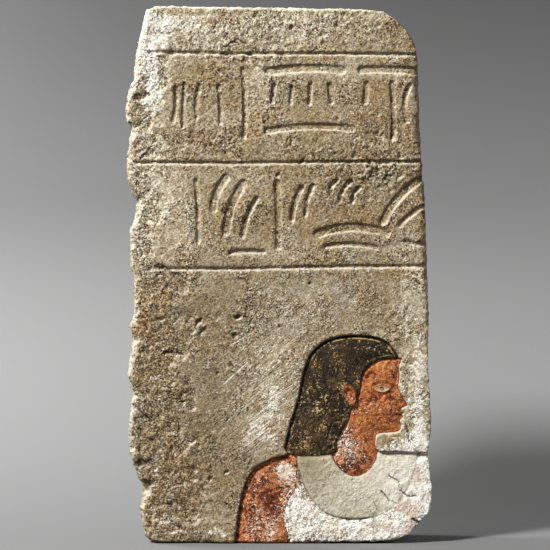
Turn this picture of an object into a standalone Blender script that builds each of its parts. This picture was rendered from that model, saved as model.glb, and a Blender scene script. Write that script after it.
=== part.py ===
"""A broken limestone wall relief, carved with rows of strokes and a sunk figure.

Metres, +Z up. The carved face looks along -Y, and the origin is the middle of the slab's
underside, on which it stands. The face is a fine grid that is pushed in by the carving, and a
Decimate modifier then thins it where the stone is plain.
"""

import math

import bmesh
import bpy
import numpy as np

# The slab.
PANEL_WIDTH = 0.340
PANEL_HEIGHT = 0.593
PANEL_THICKNESS = 0.080

# How the slab is worn: the radius where the face turns into each side, the roughness of the broken
# sides (the top and right ones have a share of it), and the spalled strip down the left.
LEFT_WEAR = 0.011
RIGHT_WEAR = 0.006
TOP_WEAR = 0.005
BOTTOM_WEAR = 0.003
BACK_WEAR = 0.002
BREAK_ROUGHNESS = 0.0035
BREAK_CELLS = (0.030, 0.012)
WEAR_CELL = 0.022
WEAR_CHANGE = 0.35
CUT_SHARE = 0.6
FACE_SWELL = 0.0010
SWELL_CELL = 0.085
SPALL_WIDTH = 0.062
SPALL_DEPTH = 0.0022
SPALL_CELL = 0.019
SPALL_WANDER = 0.012

# The three ruled lines, the strokes between them and the sunk figure.
RULE_WIDTH = 0.0042
RULE_DEPTH = 0.0024
RULE_WANDER = 0.0008
RULE_CELL = 0.045
STROKE_DEPTH = 0.0032
STROKE_WIDTH = 0.0062
HEAD_HEIGHT = 0.110
FIGURE_RIGHT = 0.160
FIGURE_RISE = 0.1005
SUNK_DEPTH = 0.0050
SUNK_WALL = 0.0014
SWELL_WIDTH = 0.0085
SWELL_DEPTH = 0.0012
WIG_STEP = 0.0012
COLLAR_STEP = 0.0009
SCORE_DEPTH = 0.0012
SCORE_WIDTH = 0.0016
LINE_OFFSET = 0.0012

# How finely the stone is meshed before it is thinned, over the figure and elsewhere, where the figure's
# part starts across and ends up, and what is kept.
FIGURE_STEP = 0.00125
PLAIN_STEP = 0.0018
SIDE_CUTS = 9
KEPT_TRIANGLES = 9200
FIGURE_SHARES = (0.36, 0.40)
RIM = 1e-6

PANEL_LEFT = -PANEL_WIDTH / 2

# The broken outline. Each side is (share along the side, share of the width or height that is lost).
LEFT_SIDE = [
    (0.000, 0.077), (0.008, 0.066), (0.042, 0.053), (0.068, 0.044), (0.090, 0.057),
    (0.110, 0.050), (0.142, 0.025), (0.193, 0.006), (0.233, 0.012), (0.282, 0.025),
    (0.314, 0.006), (0.340, 0.012), (0.378, 0.023), (0.403, 0.014), (0.425, 0.025),
    (0.489, 0.027), (0.503, 0.025), (0.516, 0.014), (0.586, 0.014), (0.609, 0.029),
    (0.639, 0.035), (0.667, 0.014), (0.682, 0.005), (0.703, 0.003), (0.739, 0.010),
    (0.777, 0.019), (0.788, 0.003), (0.812, 0.000), (0.838, 0.005), (0.869, 0.027),
    (0.918, 0.032), (0.951, 0.046), (0.970, 0.054), (1.000, 0.068),
]
RIGHT_SIDE = [
    (0.000, 0.110), (0.010, 0.072), (0.028, 0.046), (0.038, 0.034), (0.048, 0.014),
    (0.065, 0.004), (0.094, 0.000), (0.138, 0.009), (0.166, 0.014), (0.195, 0.007),
    (0.225, 0.004), (0.320, 0.014), (0.415, 0.011), (0.489, 0.015), (0.569, 0.018),
    (0.649, 0.024), (0.672, 0.027), (0.680, 0.032), (0.710, 0.032), (0.781, 0.039),
    (0.857, 0.044), (0.902, 0.047), (0.927, 0.052), (0.946, 0.063), (0.961, 0.080),
    (0.974, 0.096), (0.984, 0.117), (0.992, 0.140), (1.000, 0.160),
]
TOP_SIDE = [
    (0.000, 0.007), (0.050, 0.000), (0.300, 0.003), (0.600, 0.004), (0.800, 0.006),
    (0.920, 0.008), (1.000, 0.011),
]
BOTTOM_SIDE = [
    (0.000, 0.003), (0.060, 0.000), (0.640, 0.000), (0.780, 0.002), (0.930, 0.003),
    (1.000, 0.008),
]

# The ruled lines: (left end, its height, right end, its height), in shares of the slab.
RULES = [
    (0.060, 0.9110, 1.000, 0.9060),
    (0.036, 0.7055, 1.000, 0.7080),
    (0.085, 0.5085, 1.000, 0.5150),
]

# Two rows of plain strokes. Each is (x, height, x, height, bow, width), where x is a share of the
# slab's width, height a share of the row, and bow and width are in stroke widths.
UPPER_ROW = [
    (0.168, 0.69, 0.160, 0.38, 0.2, 0.9),
    (0.196, 0.72, 0.190, 0.33, 0.0, 0.8),
    (0.243, 0.71, 0.236, 0.42, -0.3, 0.9),
    (0.306, 0.70, 0.312, 0.36, 0.2, 0.9),
    (0.384, 0.86, 0.388, 0.24, 0.3, 0.9),
    (0.468, 0.84, 0.706, 0.85, 0.4, 1.1),
    (0.486, 0.71, 0.480, 0.56, 0.0, 1.0),
    (0.543, 0.70, 0.540, 0.55, 0.0, 0.8),
    (0.604, 0.72, 0.600, 0.54, 0.0, 0.9),
    (0.666, 0.71, 0.672, 0.56, 0.0, 1.1),
    (0.462, 0.29, 0.738, 0.31, 0.6, 1.0),
    (0.768, 0.85, 0.950, 0.84, 0.2, 1.1),
    (0.786, 0.72, 0.780, 0.56, 0.0, 1.1),
    (0.866, 0.73, 0.872, 0.22, 0.2, 1.0),
    (0.926, 0.71, 0.916, 0.38, -0.7, 0.9),
]
LOWER_ROW = [
    (0.232, 0.83, 0.240, 0.24, 0.2, 0.9),
    (0.290, 0.56, 0.330, 0.86, 0.5, 1.2),
    (0.330, 0.34, 0.386, 0.80, 0.6, 1.2),
    (0.384, 0.30, 0.430, 0.66, 0.4, 1.0),
    (0.344, 0.14, 0.452, 0.15, 0.2, 0.9),
    (0.496, 0.81, 0.500, 0.20, 0.1, 1.1),
    (0.544, 0.46, 0.574, 0.76, 0.3, 1.1),
    (0.588, 0.50, 0.612, 0.78, 0.3, 0.9),
    (0.668, 0.70, 0.690, 0.83, 0.4, 0.9),
    (0.700, 0.64, 0.732, 0.82, 0.4, 0.9),
    (0.740, 0.63, 0.764, 0.76, 0.4, 0.8),
    (0.626, 0.32, 0.850, 0.33, 1.1, 1.0),
    (0.650, 0.20, 0.820, 0.19, 0.5, 0.9),
    (0.838, 0.44, 0.948, 0.82, 0.6, 1.1),
    (0.892, 0.40, 0.968, 0.58, 0.3, 1.0),
    (0.912, 0.25, 0.976, 0.22, -0.2, 0.8),
]

# The figure, in head heights from the wig's lower back corner: x to its front, z up.
WIG = [
    (0.000, -0.02), (0.005, 0.20), (0.063, 0.40), (0.114, 0.57), (0.144, 0.73), (0.196, 0.91),
    (0.257, 1.01), (0.359, 1.10), (0.491, 1.15), (0.634, 1.17), (0.787, 1.165), (0.900, 1.145),
    (1.000, 1.10), (1.073, 1.02), (1.109, 0.94), (0.990, 0.932), (0.890, 0.907), (0.818, 0.86),
    (0.767, 0.81), (0.736, 0.73), (0.716, 0.60), (0.672, 0.50), (0.630, 0.42), (0.593, 0.30),
    (0.542, 0.20), (0.490, 0.10), (0.450, -0.02),
]
FACE_HEIGHT = 0.74
CHIN_RISE = 0.20
BROW_PLANE = 1.085
# The front of the head, in face heights from the brow's plane and the chin: the three thirds of the
# drawing manuals put the brow at 2/3 and the base of the nose at 1/3.
PROFILE = [
    (0.025, 1.02), (0.040, 0.88), (0.048, 0.76), (0.044, 0.68), (0.026, 0.62), (0.052, 0.55),
    (0.098, 0.46), (0.150, 0.385), (0.148, 0.350), (0.108, 0.333), (0.074, 0.322), (0.078, 0.285),
    (0.104, 0.262), (0.100, 0.244), (0.080, 0.236), (0.096, 0.222), (0.092, 0.194), (0.058, 0.165),
    (0.056, 0.130), (0.072, 0.080), (0.058, 0.030), (0.000, 0.000), (-0.120, -0.012),
    (-0.250, -0.030),
]
NECK = [(0.880, 0.12), (0.880, 0.04), (0.900, -0.02), (0.500, -0.10), (0.450, 0.30), (0.600, 0.90)]
NECKLINE = [
    (0.400, 0.30), (0.442, -0.02), (0.480, -0.11), (0.560, -0.20), (0.670, -0.245), (0.780, -0.21),
    (0.860, -0.12), (0.898, -0.01), (0.895, 0.30),
]
TORSO = [
    (-0.570, -1.20), (-0.530, -0.91), (-0.495, -0.63), (-0.460, -0.43), (-0.410, -0.28),
    (-0.330, -0.16), (-0.180, -0.07), (0.000, -0.025), (0.060, 0.120), (0.700, 0.120),
    (0.880, 0.000), (1.100, 0.002), (1.310, -0.006), (1.800, -0.020), (1.800, -1.20),
]
COLLAR = [
    (0.090, 0.12), (0.092, -0.05), (0.127, -0.215), (0.190, -0.383), (0.274, -0.51),
    (0.386, -0.608), (0.513, -0.652), (0.653, -0.667), (0.835, -0.65), (0.976, -0.60),
    (1.090, -0.50), (1.190, -0.36), (1.260, -0.20), (1.300, -0.02), (1.320, 0.12),
]
ARM_LINE = [(-0.126, -0.52), (-0.050, -0.68), (0.008, -0.846), (0.040, -1.05)]
JAW_LINE = [(0.980, 0.185), (0.860, 0.215), (0.760, 0.320), (0.700, 0.440)]
EYE_PLACE = (0.945, 0.632)
EYE_LENGTH = 0.170
EYE_OPENING = 0.066
BROW_RISE = 0.082
LID_WIDTH = 0.0011
BROW_WIDTH = 0.0018
NOSTRIL_LINE = [(1.122, 0.502), (1.096, 0.476), (1.116, 0.448)]
MOUTH_LINE = [(1.155, 0.375), (1.110, 0.368), (1.065, 0.372)]
EAR_PLACE = (0.625, 0.570)
EAR_LENGTH = 0.245
EAR_BREADTH = 0.120
EAR_LEAN = math.radians(20)
FEATURE_DEPTH = 0.0013


def smoothstep(low, high, value):
    """0 below low, 1 above high and smooth between them."""
    share = np.clip((value - low) / (high - low), 0.0, 1.0)
    return share * share * (3.0 - 2.0 * share)


def soft_noise(a, b, cell, seed):
    """Seeded lattice noise from -1 to 1, smooth over cells of the given size."""
    lattice = np.random.default_rng(seed).uniform(-1.0, 1.0, (64, 64))
    a, b = a / cell + 500.0, b / cell + 500.0
    column, row = np.floor(a).astype(int), np.floor(b).astype(int)
    across, up = smoothstep(0, 1, a - column), smoothstep(0, 1, b - row)
    near = lattice[row % 64, column % 64] * (1 - across)
    near += lattice[row % 64, (column + 1) % 64] * across
    far = lattice[(row + 1) % 64, column % 64] * (1 - across)
    far += lattice[(row + 1) % 64, (column + 1) % 64] * across
    return near * (1 - up) + far * up


def rounded(points, steps=4, closed=True):
    """A Catmull-Rom curve through the points, with a few steps between each two."""
    points = np.array(points, float)
    if closed:
        padded = np.vstack([points[-1], points, points[:2]])
    else:
        padded = np.vstack([2 * points[0] - points[1], points, 2 * points[-1] - points[-2]])
    share = np.arange(steps)[:, None] / steps
    made = []
    for before, start, end, after in zip(padded, padded[1:], padded[2:], padded[3:]):
        bend = (2 * before - 5 * start + 4 * end - after) * share**2
        twist = (3 * start - before - 3 * end + after) * share**3
        made.append(0.5 * (2 * start + (end - before) * share + bend + twist))
    if not closed:
        made.append(points[-1:])
    return np.vstack(made)


def line_distance(x, z, line):
    """Distance from each place to an open line of points."""
    nearest = np.full(x.shape, np.inf)
    for (ax, az), (bx, bz) in zip(line, line[1:]):
        length = max((bx - ax) ** 2 + (bz - az) ** 2, 1e-12)
        share = np.clip(((x - ax) * (bx - ax) + (z - az) * (bz - az)) / length, 0, 1)
        nearest = np.minimum(nearest, np.hypot(x - ax - share * (bx - ax), z - az - share * (bz - az)))
    return nearest


def inside_distance(x, z, outline):
    """Distance to a closed outline, positive inside it."""
    ring = np.vstack([outline, outline[:1]])
    inside = np.zeros(x.shape, bool)
    for (ax, az), (bx, bz) in zip(ring, ring[1:]):
        crosses = (az > z) != (bz > z)
        if az != bz:
            inside ^= crosses & (x < ax + (z - az) / (bz - az) * (bx - ax))
    distance = line_distance(x, z, ring)
    return np.where(inside, distance, -distance)


def side_value(side, share):
    """How much of the slab is lost at a share along one of its broken sides."""
    places, losses = zip(*side)
    return np.interp(share, places, losses)


def face_place(across, up):
    """Real x and z of the slab for shares across and up it, inside the broken outline."""
    left = side_value(LEFT_SIDE, up) * PANEL_WIDTH
    right = PANEL_WIDTH - side_value(RIGHT_SIDE, up) * PANEL_WIDTH
    low = side_value(BOTTOM_SIDE, across) * PANEL_HEIGHT
    high = PANEL_HEIGHT - side_value(TOP_SIDE, across) * PANEL_HEIGHT
    return PANEL_LEFT + left + across * (right - left), low + up * (high - low)


def slab_point(share_x, share_z):
    """Real x and z of a point given in shares of the whole slab."""
    return PANEL_LEFT + share_x * PANEL_WIDTH, share_z * PANEL_HEIGHT


def figure_points(points):
    """Real x and z of points given in head heights from the wig's lower back corner."""
    corner_x = PANEL_LEFT + PANEL_WIDTH - FIGURE_RIGHT
    corner = np.array([corner_x, FIGURE_RISE])
    return corner + np.array(points, float) * HEAD_HEIGHT


def groove(distance, width, depth):
    """A cut with steep walls and a narrow round floor."""
    return -depth * (1.0 - smoothstep(0.18 * width, 0.5 * width, distance))


def ruled_lines(x, z):
    """The depth cut by the three ruled lines."""
    cut = np.zeros(x.shape)
    for left, left_height, right, right_height in RULES:
        ends = [slab_point(left, left_height), slab_point(right + 0.05, right_height)]
        wander = RULE_WANDER * soft_noise(x, z * 0, RULE_CELL, 11)
        cut = np.minimum(cut, groove(line_distance(x, z + wander, ends), RULE_WIDTH, RULE_DEPTH))
    return cut


def stroke_line(stroke, floor, ceiling):
    """The bowed centre line of one stroke, in real x and z, between two ruled lines."""
    x0, height0, x1, height1, bow, _ = stroke
    start = np.array(slab_point(x0, floor + height0 * (ceiling - floor)))
    end = np.array(slab_point(x1, floor + height1 * (ceiling - floor)))
    share = np.linspace(0, 1, 7)[:, None]
    along = end - start
    sideways = np.array([-along[1], along[0]]) / np.hypot(*along)
    return start + along * share + sideways * bow * STROKE_WIDTH * 4 * share * (1 - share)


def stroke_rows(x, z):
    """The depth cut by the two rows of strokes."""
    cut = np.zeros(x.shape)
    heights = [(left + right) / 2 for _, left, _, right in RULES]
    for row, floor, ceiling in ((UPPER_ROW, heights[1], heights[0]), (LOWER_ROW, heights[2], heights[1])):
        for stroke in row:
            line = stroke_line(stroke, floor, ceiling)
            away = line_distance(x, z, line)
            cut = np.minimum(cut, groove(away, STROKE_WIDTH * stroke[5], STROKE_DEPTH))
    return cut


def face_outline():
    """The face and neck as one closed outline, in real x and z."""
    front = np.array(PROFILE) * FACE_HEIGHT + (BROW_PLANE, CHIN_RISE)
    return figure_points(rounded(np.vstack([front, NECK]), 3))


def eye_cut(x, z):
    """An almond eye with raised lids under a raised brow."""
    (centre_x, centre_z), = figure_points([EYE_PLACE])
    along = (x - centre_x) / (EYE_LENGTH * HEAD_HEIGHT / 2)
    lid = EYE_OPENING * HEAD_HEIGHT / 2 * np.clip(1 - along**2, 0, 1)
    away = np.where(np.abs(along) < 1, np.abs(np.abs(z - centre_z) - lid), 1.0)
    brow = centre_z + HEAD_HEIGHT * (BROW_RISE - 0.03 * along**2)
    brow_away = np.where(np.abs(along) < 1.25, np.abs(z - brow), 1.0)
    ball = smoothstep(0.0, 0.4, 1 - along**2 - ((z - centre_z) / (EYE_OPENING * HEAD_HEIGHT / 2)) ** 2)
    rim = np.exp(-((away / LID_WIDTH) ** 2)) + 0.8 * np.exp(-((brow_away / BROW_WIDTH) ** 2))
    return FEATURE_DEPTH * (rim + 0.5 * ball)


def ear_relief(x, z):
    """An upright ear over the wig: where it lies, and its raised rim round a shell."""
    (centre_x, centre_z), = figure_points([EAR_PLACE])
    dx, dz = x - centre_x, z - centre_z
    along = (dz * math.cos(EAR_LEAN) - dx * math.sin(EAR_LEAN)) / (EAR_LENGTH * HEAD_HEIGHT / 2)
    across = (dx * math.cos(EAR_LEAN) + dz * math.sin(EAR_LEAN)) / (EAR_BREADTH * HEAD_HEIGHT / 2)
    across = across * (1.0 + 0.30 * np.clip(-along, 0, 1))
    ring = np.hypot(along, across)
    body = 1.0 - smoothstep(0.90, 1.12, ring)
    shell = 1.0 - smoothstep(0.40, 0.72, ring)
    return body, WIG_STEP * body + FEATURE_DEPTH * (1.2 * body - 1.4 * shell)


def scored(distance, width=1.0, depth=1.0):
    """A soft scored line, its width and depth in those of a plain one."""
    return -SCORE_DEPTH * depth * np.exp(-((distance / (SCORE_WIDTH * width)) ** 2))


def figure_relief(x, z):
    """The sunk figure: steep walls at its outline, swelling surfaces and stepped layers inside."""
    wig = inside_distance(x, z, figure_points(rounded(WIG, 3)))
    face = inside_distance(x, z, face_outline())
    torso = inside_distance(x, z, figure_points(TORSO))
    sunk = np.maximum(np.maximum(wig, face), torso)
    wall = smoothstep(-SUNK_WALL / 2, SUNK_WALL / 2, sunk)
    swell = 1.0 - np.exp(-np.clip(sunk, 0, None) / SWELL_WIDTH)

    collar_shape = inside_distance(x, z, figure_points(rounded(COLLAR, 3)))
    neckline = inside_distance(x, z, figure_points(rounded(NECKLINE, 3)))
    collar = np.minimum(collar_shape, -neckline)
    ear, ear_height = ear_relief(x, z)
    on_wig = smoothstep(-0.0006, 0.0010, wig)
    layers = COLLAR_STEP * smoothstep(-0.0006, 0.0010, collar) + scored(collar + LINE_OFFSET)
    layers += scored(line_distance(x, z, figure_points(rounded(ARM_LINE, 4, closed=False))), 1.6, 0.7)
    layers += scored(line_distance(x, z, figure_points(rounded(JAW_LINE, 4, closed=False))), 1.6, 0.7)
    layers = layers * (1 - on_wig) + WIG_STEP * on_wig + scored(wig + LINE_OFFSET)
    layers = layers * (1 - ear) + ear_height
    for line in (MOUTH_LINE, NOSTRIL_LINE):
        layers += scored(line_distance(x, z, figure_points(line)), 0.7)
    layers += smoothstep(0.0, 0.002, face) * eye_cut(x, z)
    within = smoothstep(0.0, SUNK_WALL, sunk)
    return within * layers - wall * (SUNK_DEPTH - (SUNK_DEPTH - SWELL_DEPTH) * swell)


def worn_face(x, z, left, right, low, high):
    """The stone's own surface before carving: swells, the spalled left strip and the worn edges."""
    height = FACE_SWELL * soft_noise(x, z, SWELL_CELL, 3)
    from_left = left + SPALL_WANDER * soft_noise(x, z, SPALL_CELL, 5)
    strip = 1 - smoothstep(0.55 * SPALL_WIDTH, SPALL_WIDTH, from_left)
    height -= SPALL_DEPTH * strip * (1 + 0.5 * soft_noise(x, z, SPALL_CELL, 7))
    for distance, wear in ((left, LEFT_WEAR), (right, RIGHT_WEAR), (high, TOP_WEAR), (low, BOTTOM_WEAR)):
        radius = wear * (1 + WEAR_CHANGE * soft_noise(x, z, WEAR_CELL, 9))
        short = np.clip(radius - distance, 0, radius)
        height -= radius - np.sqrt(radius**2 - short**2)
    return height


def carved_slab(name):
    """The slab as a mesh object: a grid with a back and sides, pushed to its real shape."""
    plain_columns = PANEL_WIDTH * FIGURE_SHARES[0] / PLAIN_STEP
    columns = plain_columns + PANEL_WIDTH * (1 - FIGURE_SHARES[0]) / FIGURE_STEP
    figure_rows = PANEL_HEIGHT * FIGURE_SHARES[1] / FIGURE_STEP
    rows = figure_rows + PANEL_HEIGHT * (1 - FIGURE_SHARES[1]) / PLAIN_STEP
    slab = bmesh.new()
    bmesh.ops.create_grid(slab, x_segments=round(columns), y_segments=round(rows), size=0.5)
    back = bmesh.ops.extrude_face_region(slab, geom=slab.faces[:])["geom"]
    back = [part for part in back if isinstance(part, bmesh.types.BMVert)]
    bmesh.ops.translate(slab, verts=back, vec=(0, 0, -1))
    across_edges = [edge for edge in slab.edges if abs(edge.verts[0].co.z - edge.verts[1].co.z) > 0.5]
    bmesh.ops.subdivide_edges(slab, edges=across_edges, cuts=SIDE_CUTS, use_grid_fill=True)
    bmesh.ops.recalc_face_normals(slab, faces=slab.faces[:])
    mesh = bpy.data.meshes.new(name)
    slab.to_mesh(mesh)
    slab.free()

    unit = np.empty(len(mesh.vertices) * 3, np.float32)
    mesh.vertices.foreach_get("co", unit)
    unit = unit.reshape(-1, 3).astype(float)
    across = np.interp(unit[:, 0] + 0.5, (0, plain_columns / columns, 1), (0, FIGURE_SHARES[0], 1))
    up = np.interp(unit[:, 1] + 0.5, (0, figure_rows / rows, 1), (0, FIGURE_SHARES[1], 1))
    places = slab_shape(across, up, -unit[:, 2])
    mesh.vertices.foreach_set("co", places.ravel())
    mesh.update()
    panel = bpy.data.objects.new(name, mesh)
    thin = panel.modifiers.new("thin", "DECIMATE")
    thin.ratio = KEPT_TRIANGLES / (2 * len(mesh.polygons))
    return panel


def slab_shape(across, up, depth):
    """Real places of the slab's points, from shares across, up and from the face to the back."""
    x, z = face_place(across, up)
    left_x, _ = face_place(across * 0, up)
    right_x, _ = face_place(across * 0 + 1, up)
    _, low_z = face_place(across, up * 0)
    _, high_z = face_place(across, up * 0 + 1)
    front = worn_face(x, z, x - left_x, right_x - x, z - low_z, high_z - z)
    front += ruled_lines(x, z) + stroke_rows(x, z) + figure_relief(x, z)
    edge = np.minimum(np.minimum(x - left_x, right_x - x), np.minimum(z - low_z, high_z - z))
    back_short = np.clip(BACK_WEAR - edge, 0, BACK_WEAR)
    y_front = -PANEL_THICKNESS / 2 - front
    y_back = PANEL_THICKNESS / 2 - (BACK_WEAR - np.sqrt(BACK_WEAR**2 - back_short**2))
    y = y_front + depth * (y_back - y_front)

    # The broken sides sink in between the two faces. The underside and the sawn back stay flat.
    large, small = (soft_noise(x + z, y, cell, 15) for cell in BREAK_CELLS)
    rough = BREAK_ROUGHNESS * np.sin(math.pi * depth) * (1 + large + 0.5 * small)
    x = x + rough * (across < RIM) - CUT_SHARE * rough * (across > 1 - RIM)
    z = z - CUT_SHARE * rough * (up > 1 - RIM)
    return np.stack([x, y, z], axis=1)


def finish(thing, colour, roughness):
    """Gives an object its own plain material."""
    material = bpy.data.materials.new(thing.name)
    material.use_nodes = True
    shader = material.node_tree.nodes["Principled BSDF"]
    shader.inputs["Base Color"].default_value = (*colour, 1)
    shader.inputs["Roughness"].default_value = roughness
    shader.inputs["Metallic"].default_value = 0
    thing.data.materials.append(material)


def main():
    for old in list(bpy.data.objects):
        bpy.data.objects.remove(old)
    parts = bpy.data.collections.new("limestone_relief_panel")
    bpy.context.scene.collection.children.link(parts)

    panel = carved_slab("relief_panel")
    parts.objects.link(panel)
    finish(panel, (0.42, 0.36, 0.26), 0.95)


main()
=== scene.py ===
import math

import bmesh
import bpy
import numpy as np
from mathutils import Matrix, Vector


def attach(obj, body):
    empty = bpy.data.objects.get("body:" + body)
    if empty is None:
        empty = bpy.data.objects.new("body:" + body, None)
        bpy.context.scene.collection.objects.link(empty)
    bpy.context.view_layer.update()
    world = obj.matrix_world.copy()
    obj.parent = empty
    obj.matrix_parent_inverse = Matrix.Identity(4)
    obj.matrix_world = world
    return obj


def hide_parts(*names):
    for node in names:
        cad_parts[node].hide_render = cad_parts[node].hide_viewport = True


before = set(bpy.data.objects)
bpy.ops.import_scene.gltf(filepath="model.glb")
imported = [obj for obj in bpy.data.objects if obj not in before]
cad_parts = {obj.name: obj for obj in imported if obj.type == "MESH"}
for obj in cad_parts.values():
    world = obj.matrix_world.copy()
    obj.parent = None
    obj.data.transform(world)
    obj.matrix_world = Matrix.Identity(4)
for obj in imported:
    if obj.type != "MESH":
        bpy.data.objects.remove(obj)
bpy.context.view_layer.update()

print("stage: frame loaded")

# Metres, +Z up. The carved face looks along -Y and the slab stands on its underside at z = 0.

# The slab: its size, how its edges are worn and how finely it is meshed.
slab = {
    "width": 0.340,
    "height": 0.593,
    "thickness": 0.080,
    "leftWear": 0.011,
    "rightWear": 0.006,
    "rightWears": ((0.0, 0.25), (0.20, 0.3), (0.30, 1.4), (0.50, 1.5), (0.593, 1.0)),
    "topWear": 0.005,
    "bottomWear": 0.003,
    "backWear": 0.002,
    "wearCell": 0.022,
    "wearChange": 0.35,
    "breakDepth": 0.0035,
    "breakCells": (0.030, 0.012),
    "cutShare": 0.6,
    "swell": 0.0010,
    "swellCell": 0.085,
    "stripWidths": (
        (0.0, 0.076), (0.15, 0.066), (0.29, 0.062), (0.31, 0.024), (0.40, 0.026), (0.47, 0.036),
        (0.60, 0.030),
    ),
    "stripDepth": 0.0019,
    "stripCell": 0.019,
    "stripWander": 0.012,
    "stripFlat": 0.80,  # the share of its width that lies flat
    "stripChange": 0.5,
    "figureStep": 0.00082,
    "plainStep": 0.00105,
    "figureShares": (0.30, 0.42),
    "sideCuts": 40,
    "keptTriangles": 192000,
    "faceEnds": (0.004, 0.012),  # how far behind the face's plane the face gives way to the sides
    "limeEnds": (0.012, 0.030),
    "brokenShares": (1.0, 0.55, 0.6, 0.25),  # how roughly the left, right, top and lower sides are broken
    "sideFade": 0.06,
    "edgeFade": 0.012,
    "edgeBroken": 0.30,
}
slabLeft = -slab["width"] / 2
slabFront = -slab["thickness"] / 2

# The broken outline: (share along the side, share of the width or height that is lost).
leftSide = [
    (0.000, 0.077), (0.008, 0.066), (0.042, 0.053), (0.068, 0.044), (0.090, 0.057),
    (0.110, 0.050), (0.142, 0.025), (0.193, 0.006), (0.233, 0.012), (0.282, 0.025),
    (0.314, 0.006), (0.340, 0.012), (0.378, 0.023), (0.403, 0.014), (0.425, 0.025),
    (0.489, 0.027), (0.503, 0.025), (0.516, 0.014), (0.586, 0.014), (0.609, 0.029),
    (0.639, 0.035), (0.667, 0.014), (0.682, 0.005), (0.703, 0.003), (0.739, 0.010),
    (0.777, 0.019), (0.788, 0.003), (0.812, 0.000), (0.838, 0.005), (0.869, 0.027),
    (0.918, 0.032), (0.951, 0.046), (0.970, 0.054), (1.000, 0.068),
]
rightSide = [
    (0.000, 0.110), (0.010, 0.072), (0.028, 0.046), (0.038, 0.034), (0.048, 0.014),
    (0.065, 0.004), (0.094, 0.000), (0.138, 0.009), (0.166, 0.014), (0.195, 0.007),
    (0.225, 0.004), (0.320, 0.014), (0.415, 0.011), (0.489, 0.015), (0.569, 0.018),
    (0.649, 0.024), (0.672, 0.027), (0.680, 0.032), (0.710, 0.032), (0.781, 0.039),
    (0.857, 0.044), (0.902, 0.047), (0.927, 0.052), (0.946, 0.063), (0.961, 0.080),
    (0.974, 0.096), (0.984, 0.117), (0.992, 0.140), (1.000, 0.160),
]
topSide = [
    (0.000, 0.007), (0.050, 0.000), (0.300, 0.003), (0.600, 0.004), (0.800, 0.006),
    (0.920, 0.008), (1.000, 0.011),
]
bottomSide = [
    (0.000, 0.003), (0.060, 0.000), (0.640, 0.000), (0.780, 0.002), (0.930, 0.003),
    (1.000, 0.008),
]


def smoothStep(low, high, value):
    share = np.clip((value - low) / (high - low), 0.0, 1.0)
    return share * share * (3.0 - 2.0 * share)


def least(*values):
    return np.minimum.reduce(values)


# Seeded noise on a lattice that repeats.
latticeSize = 64
latticeShift = 500.0  # keeps every cell's number above nothing
octaveShare = 0.55  # how strong each finer size is against the last


def softNoise(a, b, cell, seed):  # from -1 to 1
    lattice = np.random.default_rng(seed).uniform(-1.0, 1.0, (latticeSize, latticeSize))
    a, b = a / cell + latticeShift, b / cell + latticeShift
    column, row = np.floor(a).astype(int), np.floor(b).astype(int)
    across, up = smoothStep(0, 1, a - column), smoothStep(0, 1, b - row)
    columns = (column % latticeSize, (column + 1) % latticeSize)
    rows = (row % latticeSize, (row + 1) % latticeSize)
    near = lattice[rows[0], columns[0]] * (1 - across)
    near += lattice[rows[0], columns[1]] * across
    far = lattice[rows[1], columns[0]] * (1 - across)
    far += lattice[rows[1], columns[1]] * across
    return near * (1 - up) + far * up


def roughNoise(a, b, cell, seed, octaves=4):  # several sizes of it together
    total = np.zeros(np.shape(a))
    for octave in range(octaves):
        total += softNoise(a, b, cell / 2**octave, seed + octave) * octaveShare**octave
    return total


def rounded(points, steps=4, closed=True):  # a Catmull-Rom curve through the points
    points = np.array(points, float)
    if closed:
        padded = np.vstack([points[-1], points, points[:2]])
    else:
        padded = np.vstack([2 * points[0] - points[1], points, 2 * points[-1] - points[-2]])
    share = np.arange(steps)[:, None] / steps
    made = []
    for before, start, end, after in zip(padded, padded[1:], padded[2:], padded[3:]):
        bend = (2 * before - 5 * start + 4 * end - after) * share**2
        twist = (3 * start - before - 3 * end + after) * share**3
        made.append(0.5 * (2 * start + (end - before) * share + bend + twist))
    if not closed:
        made.append(points[-1:])
    return np.vstack(made)


def lineDistance(x, z, line):
    nearest = np.full(x.shape, np.inf)
    for (ax, az), (bx, bz) in zip(line, line[1:]):
        length = max((bx - ax) ** 2 + (bz - az) ** 2, 1e-12)
        share = np.clip(((x - ax) * (bx - ax) + (z - az) * (bz - az)) / length, 0, 1)
        nearest = np.minimum(nearest, np.hypot(x - ax - share * (bx - ax), z - az - share * (bz - az)))
    return nearest


def insideDistance(x, z, outline):  # positive inside a closed outline
    ring = np.vstack([outline, outline[:1]])
    inside = np.zeros(x.shape, bool)
    for (ax, az), (bx, bz) in zip(ring, ring[1:]):
        crosses = (az > z) != (bz > z)
        if az != bz:
            inside ^= crosses & (x < ax + (z - az) / (bz - az) * (bx - ax))
    distance = lineDistance(x, z, ring)
    return np.where(inside, distance, -distance)


def sideValue(side, share):
    places, losses = zip(*side)
    return np.interp(share, places, losses)


def facePlace(across, up):  # real x and z inside the broken outline
    left = sideValue(leftSide, up) * slab["width"]
    right = slab["width"] * (1 - sideValue(rightSide, up))
    low = sideValue(bottomSide, across) * slab["height"]
    high = slab["height"] * (1 - sideValue(topSide, across))
    return slabLeft + left + across * (right - left), low + up * (high - low)


def slabPoint(shareX, shareZ):
    return slabLeft + shareX * slab["width"], shareZ * slab["height"]


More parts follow.
